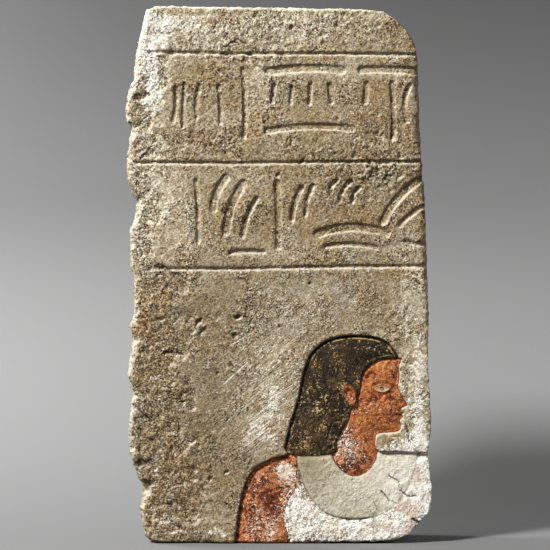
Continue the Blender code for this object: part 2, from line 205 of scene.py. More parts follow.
# The ruled lines and the two rows of plain strokes between them.
carving = {
    "ruleWidth": 0.0046,
    "ruleDepth": 0.0021,
    "ruleWander": 0.0008,
    "ruleCell": 0.045,
    "strokeDepth": 0.0021,
    "strokeWidth": 0.0064,
    "cutWall": 0.0012,
    "nibble": 0.00030,
    "nibbleCell": 0.0032,
    "depthChange": 0.30,
    "depthCell": 0.014,
    "stripFade": 0.35,  # how much of the carving the spalled strip has lost
}
rules = [  # left end, its height, right end, its height, in shares of the slab
    (0.060, 0.9110, 1.000, 0.9060),
    (0.036, 0.7055, 1.000, 0.7080),
    (0.085, 0.5085, 1.000, 0.5150),
]
upperRow = [  # x, height, x, height, bow, width
    (0.168, 0.69, 0.160, 0.38, 0.2, 0.9),
    (0.196, 0.72, 0.190, 0.33, 0.0, 0.8),
    (0.243, 0.71, 0.236, 0.42, -0.3, 0.9),
    (0.306, 0.70, 0.312, 0.36, 0.2, 0.9),
    (0.384, 0.86, 0.388, 0.24, 0.3, 0.9),
    (0.468, 0.84, 0.706, 0.85, 0.4, 1.5),
    (0.486, 0.71, 0.480, 0.56, 0.0, 1.0),
    (0.543, 0.70, 0.540, 0.55, 0.0, 0.8),
    (0.604, 0.72, 0.600, 0.54, 0.0, 0.9),
    (0.666, 0.71, 0.672, 0.56, 0.0, 1.1),
    (0.462, 0.29, 0.738, 0.31, 0.6, 1.3),
    (0.768, 0.85, 0.950, 0.84, 0.2, 1.4),
    (0.786, 0.72, 0.780, 0.56, 0.0, 1.1),
    (0.866, 0.73, 0.872, 0.22, 0.2, 1.0),
    (0.926, 0.71, 0.916, 0.38, -0.7, 0.9),
]
lowerRow = [
    (0.232, 0.83, 0.240, 0.24, 0.2, 0.9),
    (0.290, 0.56, 0.330, 0.86, 0.5, 1.5),
    (0.330, 0.34, 0.386, 0.80, 0.6, 1.6),
    (0.384, 0.30, 0.430, 0.66, 0.4, 1.0),
    (0.344, 0.14, 0.452, 0.15, 0.2, 0.9),
    (0.496, 0.81, 0.500, 0.20, 0.1, 1.3),
    (0.544, 0.46, 0.574, 0.76, 0.3, 1.1),
    (0.588, 0.50, 0.612, 0.78, 0.3, 0.9),
    (0.668, 0.70, 0.690, 0.83, 0.4, 0.9),
    (0.700, 0.64, 0.732, 0.82, 0.4, 0.9),
    (0.740, 0.63, 0.764, 0.76, 0.4, 0.8),
    (0.626, 0.32, 0.850, 0.33, 1.1, 1.6),
    (0.650, 0.20, 0.820, 0.19, 0.5, 0.9),
    (0.838, 0.44, 0.948, 0.82, 0.6, 1.5),
    (0.892, 0.40, 0.968, 0.58, 0.3, 1.0),
    (0.912, 0.25, 0.976, 0.22, -0.2, 0.8),
]


def groove(distance, width, depth):
    flat = max(0.5 * width - carving["cutWall"], 0.0002)
    return -depth * (1.0 - smoothStep(flat, 0.5 * width, distance))


def ruledLines(x, z):  # how deep they are, and how far away their outlines
    cut, away = np.zeros(x.shape), np.full(x.shape, 1.0)
    for left, leftHeight, right, rightHeight in rules:
        ends = [slabPoint(left, leftHeight), slabPoint(right + 0.05, rightHeight)]
        wander = carving["ruleWander"] * softNoise(x, z * 0, carving["ruleCell"], 11)
        near = lineDistance(x, z + wander, ends)
        cut = np.minimum(cut, groove(near, carving["ruleWidth"], carving["ruleDepth"]))
        away = np.minimum(away, near - carving["ruleWidth"] / 2)
    return cut, away


def strokeLine(stroke, floor, ceiling):
    x0, height0, x1, height1, bow, _ = stroke
    start = np.array(slabPoint(x0, floor + height0 * (ceiling - floor)))
    end = np.array(slabPoint(x1, floor + height1 * (ceiling - floor)))
    share = np.linspace(0, 1, 7)[:, None]
    along = end - start
    sideways = np.array([-along[1], along[0]]) / np.hypot(*along)
    return start + along * share + sideways * bow * carving["strokeWidth"] * 4 * share * (1 - share)


def strokeRows(x, z):
    cut, away = np.zeros(x.shape), np.full(x.shape, 1.0)
    heights = [(left + right) / 2 for _, left, _, right in rules]
    for row, floor, ceiling in ((upperRow, heights[1], heights[0]), (lowerRow, heights[2], heights[1])):
        for stroke in row:
            near = lineDistance(x, z, strokeLine(stroke, floor, ceiling))
            width = carving["strokeWidth"] * stroke[5]
            cut = np.minimum(cut, groove(near, width, carving["strokeDepth"]))
            away = np.minimum(away, near - width / 2)
    return cut, away


# The sunk figure. Its points are in head heights from the wig's lower back corner.
figure = {
    "headHeight": 0.110,
    "fromRight": 0.160,
    "rise": 0.1005,
    "sunkDepth": 0.0050,
    "sunkWall": 0.0014,
    "swellWidth": 0.0085,
    "swellDepth": 0.0012,
    "wigStep": 0.0012,
    "collarStep": 0.0009,
    "scoreDepth": 0.0012,
    "scoreWidth": 0.0016,
    "lineOffset": 0.0012,
    "layerEnds": (-0.0006, 0.0010),
    "collarFade": 0.85,  # the collar's carving is worn away towards the lower right
    "fadeAcross": (0.092, 0.112),
    "fadeDown": (-0.100, -0.090),
    "softLine": (1.6, 0.7),  # width and depth of the arm's and jaw's lines
    "faceHeight": 0.74,
    "chinRise": 0.20,
    "browPlane": 1.085,
    "featureDepth": 0.0013,
    "eyePlace": (0.945, 0.632),
    "eyeLength": 0.170,
    "eyeOpening": 0.066,
    "browRise": 0.082,
    "browBow": 0.03,
    "lidWidth": 0.0011,
    "browWidth": 0.0018,
    "fullness": [  # place, half width and half height in head heights, rise in metres
        (0.930, 0.430, 0.120, 0.110, 0.0011), (0.955, 0.640, 0.110, 0.050, -0.0007),
        (1.145, 0.398, 0.030, 0.016, 0.0008), (1.138, 0.352, 0.028, 0.015, 0.0008),
        (1.125, 0.462, 0.026, 0.028, 0.0008), (1.090, 0.260, 0.060, 0.035, 0.0007),
        (1.040, 0.800, 0.110, 0.060, 0.0005),
    ],
    "earPlace": (0.625, 0.570),
    "earLength": 0.245,
    "earBreadth": 0.120,
    "earLean": math.radians(20),
}
wigOutline = [
    (0.000, -0.02), (0.005, 0.20), (0.063, 0.40), (0.114, 0.57), (0.144, 0.73), (0.196, 0.91),
    (0.257, 1.01), (0.359, 1.10), (0.491, 1.15), (0.634, 1.17), (0.787, 1.165), (0.900, 1.145),
    (1.000, 1.10), (1.073, 1.02), (1.109, 0.94), (0.990, 0.932), (0.890, 0.907), (0.818, 0.86),
    (0.767, 0.81), (0.736, 0.73), (0.716, 0.60), (0.672, 0.50), (0.630, 0.42), (0.593, 0.30),
    (0.542, 0.20), (0.490, 0.10), (0.450, -0.02),
]
# The head's front in face heights, on the drawing manuals' thirds: brow at 2/3, nose's base at 1/3.
profile = [
    (0.025, 1.02), (0.040, 0.88), (0.048, 0.76), (0.044, 0.68), (0.026, 0.62), (0.052, 0.55),
    (0.098, 0.46), (0.150, 0.385), (0.148, 0.350), (0.108, 0.333), (0.074, 0.322), (0.078, 0.285),
    (0.104, 0.262), (0.100, 0.244), (0.080, 0.236), (0.096, 0.222), (0.092, 0.194), (0.058, 0.165),
    (0.056, 0.130), (0.072, 0.080), (0.058, 0.030), (0.000, 0.000), (-0.120, -0.012),
    (-0.250, -0.030),
]
neck = [(0.880, 0.12), (0.880, 0.04), (0.900, -0.02), (0.500, -0.10), (0.450, 0.30), (0.600, 0.90)]
neckline = [
    (0.400, 0.30), (0.442, -0.02), (0.480, -0.11), (0.560, -0.20), (0.670, -0.245), (0.780, -0.21),
    (0.860, -0.12), (0.898, -0.01), (0.895, 0.30),
]
torso = [
    (-0.570, -1.20), (-0.530, -0.91), (-0.495, -0.63), (-0.460, -0.43), (-0.410, -0.28),
    (-0.330, -0.16), (-0.180, -0.07), (0.000, -0.025), (0.060, 0.120), (0.700, 0.120),
    (0.880, 0.000), (1.100, 0.002), (1.310, -0.006), (1.800, -0.020), (1.800, -1.20),
]
collarOutline = [
    (0.090, 0.12), (0.092, -0.05), (0.127, -0.215), (0.190, -0.383), (0.274, -0.51),
    (0.386, -0.608), (0.513, -0.652), (0.653, -0.667), (0.835, -0.65), (0.976, -0.60),
    (1.090, -0.50), (1.190, -0.36), (1.260, -0.20), (1.300, -0.02), (1.320, 0.12),
]
armLine = [(-0.126, -0.52), (-0.050, -0.68), (0.008, -0.846), (0.040, -1.05)]
jawLine = [(0.980, 0.185), (0.860, 0.215), (0.760, 0.320), (0.700, 0.440)]
nostrilLine = [(1.122, 0.502), (1.096, 0.476), (1.116, 0.448)]
mouthLine = [(1.155, 0.375), (1.110, 0.368), (1.065, 0.372)]
paintedArm = [  # where the red of the shoulder and arm ends on the chest
    (-0.90, -1.20), (-0.90, 0.20), (0.10, 0.20), (0.10, -0.18), (0.085, -0.36), (0.000, -0.50),
    (-0.045, -0.66), (0.000, -0.80), (0.020, -1.20),
]


def figurePoints(points):
    corner = np.array([slabLeft + slab["width"] - figure["fromRight"], figure["rise"]])
    return corner + np.array(points, float) * figure["headHeight"]


def faceOutline():
    front = np.array(profile) * figure["faceHeight"] + (figure["browPlane"], figure["chinRise"])
    return figurePoints(rounded(np.vstack([front, neck]), 3))


def scored(distance, width=1.0, depth=1.0):
    return -figure["scoreDepth"] * depth * np.exp(-((distance / (figure["scoreWidth"] * width)) ** 2))


def figurePlace(place):
    return figurePoints([place])[0]


def softFace(x, z):  # the cheek, the eye's hollow and the lips, rounded off
    head = figure["headHeight"]
    height = np.zeros(x.shape)
    for px, pz, wide, high, rise in figure["fullness"]:
        centreX, centreZ = figurePlace((px, pz))
        away = ((x - centreX) / (wide * head)) ** 2 + ((z - centreZ) / (high * head)) ** 2
        height += rise * np.exp(-away)
    return height


def eyeShares(x, z):  # how far along and over the eye, in its half length and half opening
    centreX, centreZ = figurePlace(figure["eyePlace"])
    along = (x - centreX) / (figure["eyeLength"] * figure["headHeight"] / 2)
    return along, (z - centreZ) / (figure["eyeOpening"] * figure["headHeight"] / 2)


def eyeCut(x, z):
    along, height = eyeShares(x, z)
    centreZ = figurePlace(figure["eyePlace"])[1]
    lid = figure["eyeOpening"] * figure["headHeight"] / 2 * np.clip(1 - along**2, 0, 1)
    lidAway = np.where(np.abs(along) < 1, np.abs(np.abs(z - centreZ) - lid), 1.0)
    brow = centreZ + figure["headHeight"] * (figure["browRise"] - figure["browBow"] * along**2)
    browAway = np.where(np.abs(along) < 1.25, np.abs(z - brow), 1.0)
    ball = smoothStep(0.0, 0.4, 1 - along**2 - height**2)
    rim = np.exp(-((lidAway / figure["lidWidth"]) ** 2))
    rim = rim + 0.8 * np.exp(-((browAway / figure["browWidth"]) ** 2))
    return figure["featureDepth"] * (rim + 0.5 * ball)


def earRelief(x, z):
    head = figure["headHeight"]
    centreX, centreZ = figurePlace(figure["earPlace"])
    dx, dz = x - centreX, z - centreZ
    lean = figure["earLean"]
    along = (dz * math.cos(lean) - dx * math.sin(lean)) / (figure["earLength"] * head / 2)
    across = (dx * math.cos(lean) + dz * math.sin(lean)) / (figure["earBreadth"] * head / 2)
    across = across * (1.0 + 0.30 * np.clip(-along, 0, 1))
    ring = np.hypot(along, across)
    body = 1.0 - smoothStep(0.90, 1.12, ring)
    shell = 1.0 - smoothStep(0.40, 0.72, ring)
    fold = np.exp(-(((along - 0.05) / 0.42) ** 2) - (((across + 0.12) / 0.22) ** 2))
    edge = (1.0 - ring) * figure["earBreadth"] * head / 2
    rise = figure["featureDepth"] * (1.2 * body - 1.6 * shell + 0.9 * fold)
    return body, figure["wigStep"] * body + rise, edge


def figureEdges(x, z):  # signed distances to the figure's outlines, positive inside
    edges = {
        "wig": insideDistance(x, z, figurePoints(rounded(wigOutline, 3))),
        "face": insideDistance(x, z, faceOutline()),
        "torso": insideDistance(x, z, figurePoints(torso)),
    }
    shape = insideDistance(x, z, figurePoints(rounded(collarOutline, 3)))
    edges["collar"] = np.minimum(shape, -insideDistance(x, z, figurePoints(rounded(neckline, 3))))
    edges["throat"] = np.maximum(edges["face"], edges["torso"])
    edges["sunk"] = np.maximum(np.maximum(edges["wig"], edges["face"]), edges["torso"])
    return edges


def figureRelief(x, z, edges):
    wig, face, collar, sunk = edges["wig"], edges["face"], edges["collar"], edges["sunk"]
    wall = smoothStep(-figure["sunkWall"] / 2, figure["sunkWall"] / 2, sunk)
    swell = 1.0 - np.exp(-np.clip(sunk, 0, None) / figure["swellWidth"])
    ear, earHeight, _ = earRelief(x, z)
    onWig = smoothStep(*figure["layerEnds"], wig)
    layers = figure["collarStep"] * smoothStep(*figure["layerEnds"], collar)
    layers += scored(collar + figure["lineOffset"])
    fade = figure["collarFade"] * smoothStep(*figure["fadeAcross"], x)
    layers *= 1 - fade * smoothStep(*figure["fadeDown"], -z)
    for line in (armLine, jawLine):
        away = lineDistance(x, z, figurePoints(rounded(line, 4, closed=False)))
        layers += scored(away, *figure["softLine"])
    layers = layers * (1 - onWig) + figure["wigStep"] * onWig + scored(wig + figure["lineOffset"])
    layers = layers * (1 - ear) + earHeight
    for line in (mouthLine, nostrilLine):
        layers += scored(lineDistance(x, z, figurePoints(line)), 0.7)
    layers += smoothStep(0.0, 0.002, face) * (eyeCut(x, z) + softFace(x, z) * (1 - ear))
    within = smoothStep(0.0, figure["sunkWall"], sunk)
    depth = figure["sunkDepth"] - (figure["sunkDepth"] - figure["swellDepth"]) * swell
    return within * layers - wall * depth


# Damage that shows by itself, in millimetres on the face.
damage = {
    "ragged": ((0.0012, 0.0026, 41), (0.0008, 0.0013, 42)),  # how far edges wander, cell and seed
    "pits": [  # x, z, radius, depth, lean in degrees, stretch
        (-88.0, 243.0, 4.2, 2.6, 50, 1.5), (-83.0, 234.0, 5.0, 1.2, 50, 1.5),
        (-44.5, 249.5, 3.2, 2.6, 20, 1.6), (-48.0, 228.5, 4.4, 1.5, 60, 1.2),
        (-105.5, 155.5, 2.2, 2.2, 5, 1.7), (-56.5, 135.5, 2.3, 2.4, 45, 1.7),
        (-52.0, 196.5, 4.0, 0.9, 40, 1.3), (-67.0, 188.0, 3.4, 0.9, 40, 1.3),
        (34.5, 286.0, 2.4, 2.2, 60, 1.2), (-150.0, 492.0, 6.5, 2.2, 10, 1.8),
        (-147.0, 62.0, 9.0, 3.6, 40, 1.4), (-152.0, 88.0, 7.0, 2.4, 20, 1.3),
        (-57.0, 79.0, 3.0, 1.6, 30, 1.5), (-75.0, 71.0, 3.0, 1.4, 30, 1.2),
        (26.0, 421.0, 3.0, 1.8, 50, 2.0), (-1.0, 405.0, 3.0, 1.5, 45, 1.8),
    ],
    "cracks": [  # points, width and depth
        ([(-161, 153), (-150, 144), (-139, 134)], 1.9, 2.2),
        ([(-128, 209), (-117, 210), (-106, 208)], 2.2, 1.6),
        ([(-129, 172), (-117, 171)], 2.0, 1.2),
        ([(-152, 421), (-143, 433), (-135, 445)], 1.5, 1.8),
        ([(-157, 458), (-150, 465), (-142, 472)], 1.6, 1.6),
        ([(-61, 545), (-45, 554), (-34, 549)], 1.4, 1.3),
        ([(141, 129), (144, 112)], 1.2, 1.2),
        ([(113, 58), (122, 47)], 1.3, 1.6),
        ([(134, 58), (142, 52), (152, 52)], 1.3, 1.6),
        ([(122, 74), (134, 67)], 1.3, 1.2),
        ([(148, 27), (157, 21)], 2.6, 5.0),
    ],
    "splits": [  # fine dark cracks: two ends, half width
        (113, 58, 122, 47, 0.6), (122, 47, 129, 45, 0.4), (134, 58, 142, 52, 0.6), (142, 52, 152, 52, 0.5),
        (122, 74, 132, 69, 0.5), (132, 69, 134, 62, 0.4), (-161, 153, -139, 134, 0.8),
        (-152, 421, -135, 445, 0.6), (-128, 209, -106, 208, 0.7), (-61, 545, -34, 552, 0.6),
        (104, 46, 111, 35, 0.4), (-122, 560, -104, 575, 0.5), (141, 129, 144, 112, 0.6),
    ],
    "scratches": [  # pale scored lines: two ends, half width
        (-60.0, 176.0, -34.6, 199.2, 0.9), (-50.3, 219.5, -38.4, 226.7, 0.9),
        (-9.4, 160.3, 22.6, 178.8, 0.6), (-12.4, 142.5, 20.4, 162.3, 0.6),
        (-34.0, 133.6, 12.7, 171.0, 0.5), (-30.0, 185.0, -19.0, 178.0, 0.5),
    ],
}


def namedDamage(x, z):
    height = np.zeros(x.shape)
    ragged = sum(size * softNoise(x, z, cell, seed) for size, cell, seed in damage["ragged"])
    for px, pz, radius, depth, lean, stretch in damage["pits"]:
        dx, dz = x - px / 1000, z - pz / 1000
        turn = math.radians(lean)
        along = (dx * math.cos(turn) + dz * math.sin(turn)) / stretch
        across = (dz * math.cos(turn) - dx * math.sin(turn)) * math.sqrt(stretch)
        away = np.hypot(along, across) + ragged
        height -= depth / 1000 * (1 - smoothStep(0.25 * radius / 1000, radius / 1000, away))
    for line, width, depth in damage["cracks"]:
        away = lineDistance(x + ragged, z - ragged, np.array(line) / 1000)
        height -= depth / 1000 * (1 - smoothStep(0.1 * width / 1000, 0.6 * width / 1000, away))
    return height


def softSpots(x, z, places):  # smooth areas: x, z, half width and half height in millimetres, strength
    total = np.zeros(x.shape)
    for px, pz, wide, high, strength in places:
        across, up = (x - px / 1000) / (wide / 1000), (z - pz / 1000) / (high / 1000)
        total += strength * np.exp(-(across**2) - up**2)
    return np.clip(total, 0, 1)


# Broad areas of the face: x, z, half width and half height in millimetres, strength.
areas = {
    "rough": [  # hackly, never dressed smooth
        (0, 566, 190, 20, 0.5), (-150, 480, 22, 90, 0.45), (105, 405, 60, 22, 0.7),
        (-80, 440, 50, 18, 0.6), (110, 440, 50, 30, 0.5), (-60, 500, 40, 16, 0.4),
        (-40, 540, 60, 14, 0.5), (40, 300, 60, 10, 0.3), (-95, 240, 24, 26, 0.4),
        (-20, 235, 30, 40, 0.25), (-110, 60, 50, 60, 0.35), (70, 14, 60, 10, 0.2),
        (156, 40, 12, 50, 0.2),
    ],
    "porous": [
        (14, 440, 10, 18, 0.9), (105, 405, 55, 24, 0.8), (-22, 462, 24, 30, 0.5), (60, 380, 50, 16, 0.6),
        (95, 342, 40, 20, 0.4), (110, 460, 40, 30, 0.6), (30, 575, 60, 16, 0.4),
    ],
    "white": [  # lime and plaster that is left
        (146, 45, 30, 60, 1.0), (95, 12, 60, 14, 0.8), (156, 130, 12, 70, 0.30), (-122, 22, 24, 18, 0.36),
        (-66, 12, 26, 10, 0.42), (-136, 84, 12, 24, 0.3), (45, 30, 22, 22, 0.6), (100, 70, 50, 40, 0.55),
        (14, 40, 20, 50, 0.45), (-24, 118, 30, 24, 0.42), (-4, 158, 20, 24, 0.38), (12, 205, 12, 26, 0.28),
        (90, 205, 40, 30, 0.3), (152, 200, 18, 60, 0.26), (128, 150, 14, 16, 0.24),
        (-100, 572, 56, 16, 0.38), (-140, 500, 24, 60, 0.42), (-140, 560, 16, 30, 0.40),
        (-22, 505, 10, 24, 0.25), (40, 272, 24, 16, 0.30), (-8, 200, 16, 26, 0.22),
        (-125, 365, 20, 34, 0.25), (20, 560, 16, 12, 0.35),
    ],
    "pale": [  # grey dust over the stone
        (-90, 565, 80, 26, 1.0), (40, 570, 60, 18, 0.6), (-144, 498, 24, 70, 1.0),
        (-140, 400, 22, 40, 0.7), (-23, 503, 14, 44, 0.8), (16, 560, 24, 22, 0.7),
        (-124, 360, 30, 48, 1.0), (-40, 398, 60, 12, 0.5), (40, 268, 42, 28, 0.5), (-8, 195, 30, 56, 0.8),
        (-25, 135, 30, 34, 0.8), (152, 170, 16, 90, 1.0), (150, 280, 20, 50, 0.9), (-60, 30, 60, 20, 0.3),
        (60, 520, 60, 12, 0.4), (110, 585, 60, 12, 0.5), (0, 330, 30, 14, 0.5),
    ],
    "ochre": [
        (-70, 521, 32, 14, 0.8), (57, 548, 26, 16, 0.6), (92, 500, 30, 16, 0.6), (128, 552, 20, 24, 0.7),
        (73, 466, 34, 18, 0.6), (125, 455, 26, 30, 0.7), (-86, 449, 46, 18, 0.7),
        (-10, 352, 46, 34, 0.6), (85, 356, 60, 34, 0.7), (-153, 226, 12, 24, 1.0),
        (-135, 190, 22, 30, 0.7), (-90, 270, 26, 18, 0.6), (-135, 250, 34, 50, 0.6),
        (-97, 95, 56, 60, 0.8), (-120, 40, 40, 30, 0.6), (160, 400, 10, 60, 0.6),
        (-30, 455, 24, 20, 0.5), (20, 400, 50, 12, 0.4), (123, 295, 12, 10, 0.6),
    ],
    "tooled": [  # long lines of the dressing tool
        (-20, 160, 40, 50, 1.0), (0, 210, 34, 30, 0.6), (-60, 480, 40, 30, 0.5), (10, 490, 50, 30, 0.35),
        (80, 270, 60, 20, 0.3), (-100, 400, 50, 20, 0.4), (-40, 120, 30, 30, 0.6),
    ],
    "redDeep": [
        (-14, 60, 30, 18, 1.0), (6, 34, 14, 14, 0.6), (-24, 22, 16, 14, 0.55), (104, 160, 20, 10, 0.5),
        (80, 85, 30, 10, 0.6), (72, 112, 16, 16, 0.5),
    ],
    "bare": [
        (6, 81, 9, 7, 1.2), (-20, 14, 24, 26, 0.5), (76, 118, 20, 26, 0.42), (12, 60, 14, 30, 0.6),
        (96, 150, 14, 12, 0.25), (-24, 70, 12, 14, 0.4), (60, 128, 10, 20, 0.3), (78, 98, 18, 16, 0.34),
    ],
    "dusky": [  # dull and dark; the narrow strips along the left and right edges, at x -165 to -160 and 165, are painted shade
        (28, 84, 28, 56, 1.0), (24, 40, 22, 10, 0.5), (48, 22, 50, 24, 0.5), (-80, 190, 46, 64, 0.9),
        (-86, 245, 22, 22, 0.8), (-50, 250, 26, 30, 0.7), (-75, 110, 50, 46, 0.5),
        (-100, 165, 22, 44, 0.6), (165, 430, 12, 110, 0.7), (-160, 200, 12, 130, 0.5),
        (-20, 290, 60, 12, 0.5), (80, 290, 60, 12, 0.4), (-50, 60, 24, 36, 0.8), (-56, 100, 30, 40, 0.4),
        (-60, 425, 60, 12, 0.4), (60, 430, 50, 16, 0.4), (-50, 350, 30, 30, 0.3), (-165, 440, 10, 60, 0.5),
        (40, 360, 110, 40, 0.5), (50, 262, 120, 26, 0.45), (-100, 62, 60, 50, 0.55),
        (-165, 100, 10, 60, 0.6),
    ],
}


def wornFace(x, z, left, right, low, high):
    height = slab["swell"] * softNoise(x, z, slab["swellCell"], 3)
    fromLeft = left + slab["stripWander"] * roughNoise(x, z, slab["stripCell"], 5, 3)
    width = np.interp(z, *zip(*slab["stripWidths"]))
    strip = 1 - smoothStep(slab["stripFlat"] * width, width, fromLeft)
    uneven = 1 + slab["stripChange"] * softNoise(x, z, slab["stripCell"], 7)
    height -= slab["stripDepth"] * strip * uneven
    rightWear = slab["rightWear"] * np.interp(z, *zip(*slab["rightWears"]))
    wears = (slab["leftWear"], rightWear, slab["topWear"], slab["bottomWear"])
    for distance, wear in zip((left, right, high, low), wears):
        radius = wear * (1 + slab["wearChange"] * softNoise(x, z, slab["wearCell"], 9))
        short = np.clip(radius - distance, 0, radius)
        height -= radius - np.sqrt(radius**2 - short**2)
    return height, strip


def carvedFront(x, z, left, right, low, high):  # the face's height over its plane, and what lies where
    edges = figureEdges(x, z)
    nibble = carving["nibble"] * roughNoise(x, z, carving["nibbleCell"], 31, 2)
    height, strip = wornFace(x, z, left, right, low, high)
    ruled, ruledAway = ruledLines(x + nibble, z + nibble)
    strokes, strokesAway = strokeRows(x + nibble, z - nibble)
    cut = (ruled + strokes) * (1 + carving["depthChange"] * softNoise(x, z, carving["depthCell"], 33))
    height += cut * (1 - carving["stripFade"] * strip) + figureRelief(x, z, edges) + namedDamage(x, z)
    edges["strip"], edges["cut"], edges["away"] = strip, cut, np.minimum(ruledAway, strokesAway)
    return height, edges


def sideDistances(x, z):  # how far a place on the face is from each broken side
    up = np.clip(z / slab["height"], 0, 1)
    across = np.clip((x - slabLeft) / slab["width"], 0, 1)
    leftX = slabLeft + sideValue(leftSide, up) * slab["width"]
    rightX = slabLeft + slab["width"] * (1 - sideValue(rightSide, up))
    lowZ = sideValue(bottomSide, across) * slab["height"]
    highZ = slab["height"] * (1 - sideValue(topSide, across))
    return x - leftX, rightX - x, z - lowZ, highZ - z


def readPoints(items, name):  # three numbers for each vertex or face
    numbers = np.empty(len(items) * 3, np.float32)
    items.foreach_get(name, numbers)
    return numbers.reshape(-1, 3)


def storeValues(mesh, **values):
    for name, numbers in values.items():
        kept = mesh.attributes.get(name) or mesh.attributes.new(name, "FLOAT", "POINT")
        kept.data.foreach_set("value", np.asarray(numbers, np.float32))


def blockGrid():  # a closed block of fine cells, from 0 to 1 across, up and from the face to the back
    wide, high = slab["width"], slab["height"]
    plainColumns = wide * slab["figureShares"][0] / slab["plainStep"]
    columns = plainColumns + wide * (1 - slab["figureShares"][0]) / slab["figureStep"]
    figureRows = high * slab["figureShares"][1] / slab["figureStep"]
    rows = figureRows + high * (1 - slab["figureShares"][1]) / slab["plainStep"]
    block = bmesh.new()
    bmesh.ops.create_grid(block, x_segments=round(columns), y_segments=round(rows), size=0.5)
    back = bmesh.ops.extrude_face_region(block, geom=block.faces[:])["geom"]
    back = [part for part in back if isinstance(part, bmesh.types.BMVert)]
    bmesh.ops.translate(block, verts=back, vec=(0, 0, -1))
    through = [edge for edge in block.edges if abs(edge.verts[0].co.z - edge.verts[1].co.z) > 0.5]
    bmesh.ops.subdivide_edges(block, edges=through, cuts=slab["sideCuts"], use_grid_fill=True)
    bmesh.ops.recalc_face_normals(block, faces=block.faces[:])
    mesh = bpy.data.meshes.new("carvedSlab")
    block.to_mesh(mesh)
    block.free()
    unit = readPoints(mesh.vertices, "co").astype(float)
    across = np.interp(unit[:, 0] + 0.5, (0, plainColumns / columns, 1), (0, slab["figureShares"][0], 1))
    up = np.interp(unit[:, 1] + 0.5, (0, figureRows / rows, 1), (0, slab["figureShares"][1], 1))
    return mesh, across, up, -unit[:, 2]


def shapedSlab():  # the block pushed to the slab's real shape, with the masks that the weathering reads
    mesh, across, up, depth = blockGrid()
    x, z = facePlace(across, up)
    leftX, _ = facePlace(across * 0, up)
    rightX, _ = facePlace(across * 0 + 1, up)
    _, lowZ = facePlace(across, up * 0)
    _, highZ = facePlace(across, up * 0 + 1)
    gaps = (x - leftX, rightX - x, z - lowZ, highZ - z)
    edge = least(*gaps)
    front = np.zeros(x.shape)
    marks = {name: np.zeros(x.shape) for name in ("strip", "sunk", "cut")}
    onFace = (depth < 0.999) | (edge < 0.02)
    chosen = [gap[onFace] for gap in gaps]
    front[onFace], found = carvedFront(x[onFace], z[onFace], *chosen)
    for name in marks:
        marks[name][onFace] = found[name]
    backShort = np.clip(slab["backWear"] - edge, 0, slab["backWear"])
    yFront = slabFront - front
    yBack = -slabFront - (slab["backWear"] - np.sqrt(slab["backWear"] ** 2 - backShort**2))
    y = yFront + depth * (yBack - yFront)
    large, small = (softNoise(x + z, y, cell, 15) for cell in slab["breakCells"])
    rough = slab["breakDepth"] * np.sin(math.pi * depth) * (1 + large + 0.5 * small)
    rim = 1e-6
    onLeft, onRight, onTop, onLow = across < rim, across > 1 - rim, up > 1 - rim, up < rim
    places = np.stack([
        x + rough * onLeft - slab["cutShare"] * rough * onRight,
        y,
        z - slab["cutShare"] * rough * onTop,
    ], axis=1)
    mesh.vertices.foreach_set("co", places.astype(np.float32).ravel())
    mesh.update()
    face = (depth < 0.001) * 1.0
    backFace = (depth > 0.999) * (edge > rim)
    sides = (onLeft, onRight, onTop, onLow)
    broken = sum(share * side for share, side in zip(slab["brokenShares"], sides))
    broken = np.clip(broken, 0, 1) * (1 - face)
    onSide = broken * smoothStep(0.0, slab["sideFade"], depth)
    byEdge = slab["edgeBroken"] * face * (1 - smoothStep(0.0, slab["edgeFade"], edge))
    storeValues(
        mesh,
        faceAmount=face,
        brokenAmount=np.maximum(onSide, byEdge),
        backAmount=backFace,
        stripAmount=marks["strip"] * face,
        roughAmount=softSpots(x, z, areas["rough"]) * face * (marks["sunk"] < 0),
        porousAmount=softSpots(x, z, areas["porous"]) * face * (marks["sunk"] < 0),
        smoothAmount=smoothStep(0.0, 0.001, marks["sunk"]) * face,
    )
    return mesh


def addNode(tree, kind, inputs=None, **settings):
    made = tree.nodes.new(kind)
    for name, value in settings.items():
        setattr(made, name, value)
    for name, value in (inputs or {}).items():
        if isinstance(value, bpy.types.NodeSocket):
            tree.links.new(value, made.inputs[name])
        else:
            made.inputs[name].default_value = value
    return made


def calc(tree, operation, *values, clamp=False):
    made = addNode(tree, "ShaderNodeMath", dict(enumerate(values)), operation=operation, use_clamp=clamp)
    return made.outputs[0]


def chained(tree, operation, values, clamp=False):
    total = values[0]
    for value in values[1:-1]:
        total = calc(tree, operation, total, value)
    return calc(tree, operation, total, values[-1], clamp=clamp)


def times(tree, *values, clamp=False):
    return chained(tree, "MULTIPLY", values, clamp)


def plus(tree, *values):
    return chained(tree, "ADD", values)


def most(tree, *values):
    return chained(tree, "MAXIMUM", values)


def minus(tree, first, second):
    return calc(tree, "SUBTRACT", first, second)


def timesPlus(tree, value, factor, extra, clamp=False):
    return calc(tree, "MULTIPLY_ADD", value, factor, extra, clamp=clamp)


def vectorCalc(tree, operation, first, second, output="Vector"):
    made = addNode(tree, "ShaderNodeVectorMath", {0: first, 1: second}, operation=operation)
    return made.outputs[output]


def vectorTimes(tree, vector, amount):
    made = addNode(tree, "ShaderNodeVectorMath", {0: vector, "Scale": amount}, operation="SCALE")
    return made.outputs[0]


def objectPlace(tree):
    return addNode(tree, "ShaderNodeTexCoord").outputs["Object"]


def spread(tree, value, fromLow, fromHigh, toLow=0.0, toHigh=1.0, smooth=True):
    inputs = {"Value": value, "From Min": fromLow, "From Max": fromHigh, "To Min": toLow, "To Max": toHigh}
    kind = "SMOOTHSTEP" if smooth else "LINEAR"
    return addNode(tree, "ShaderNodeMapRange", inputs, interpolation_type=kind).outputs["Result"]


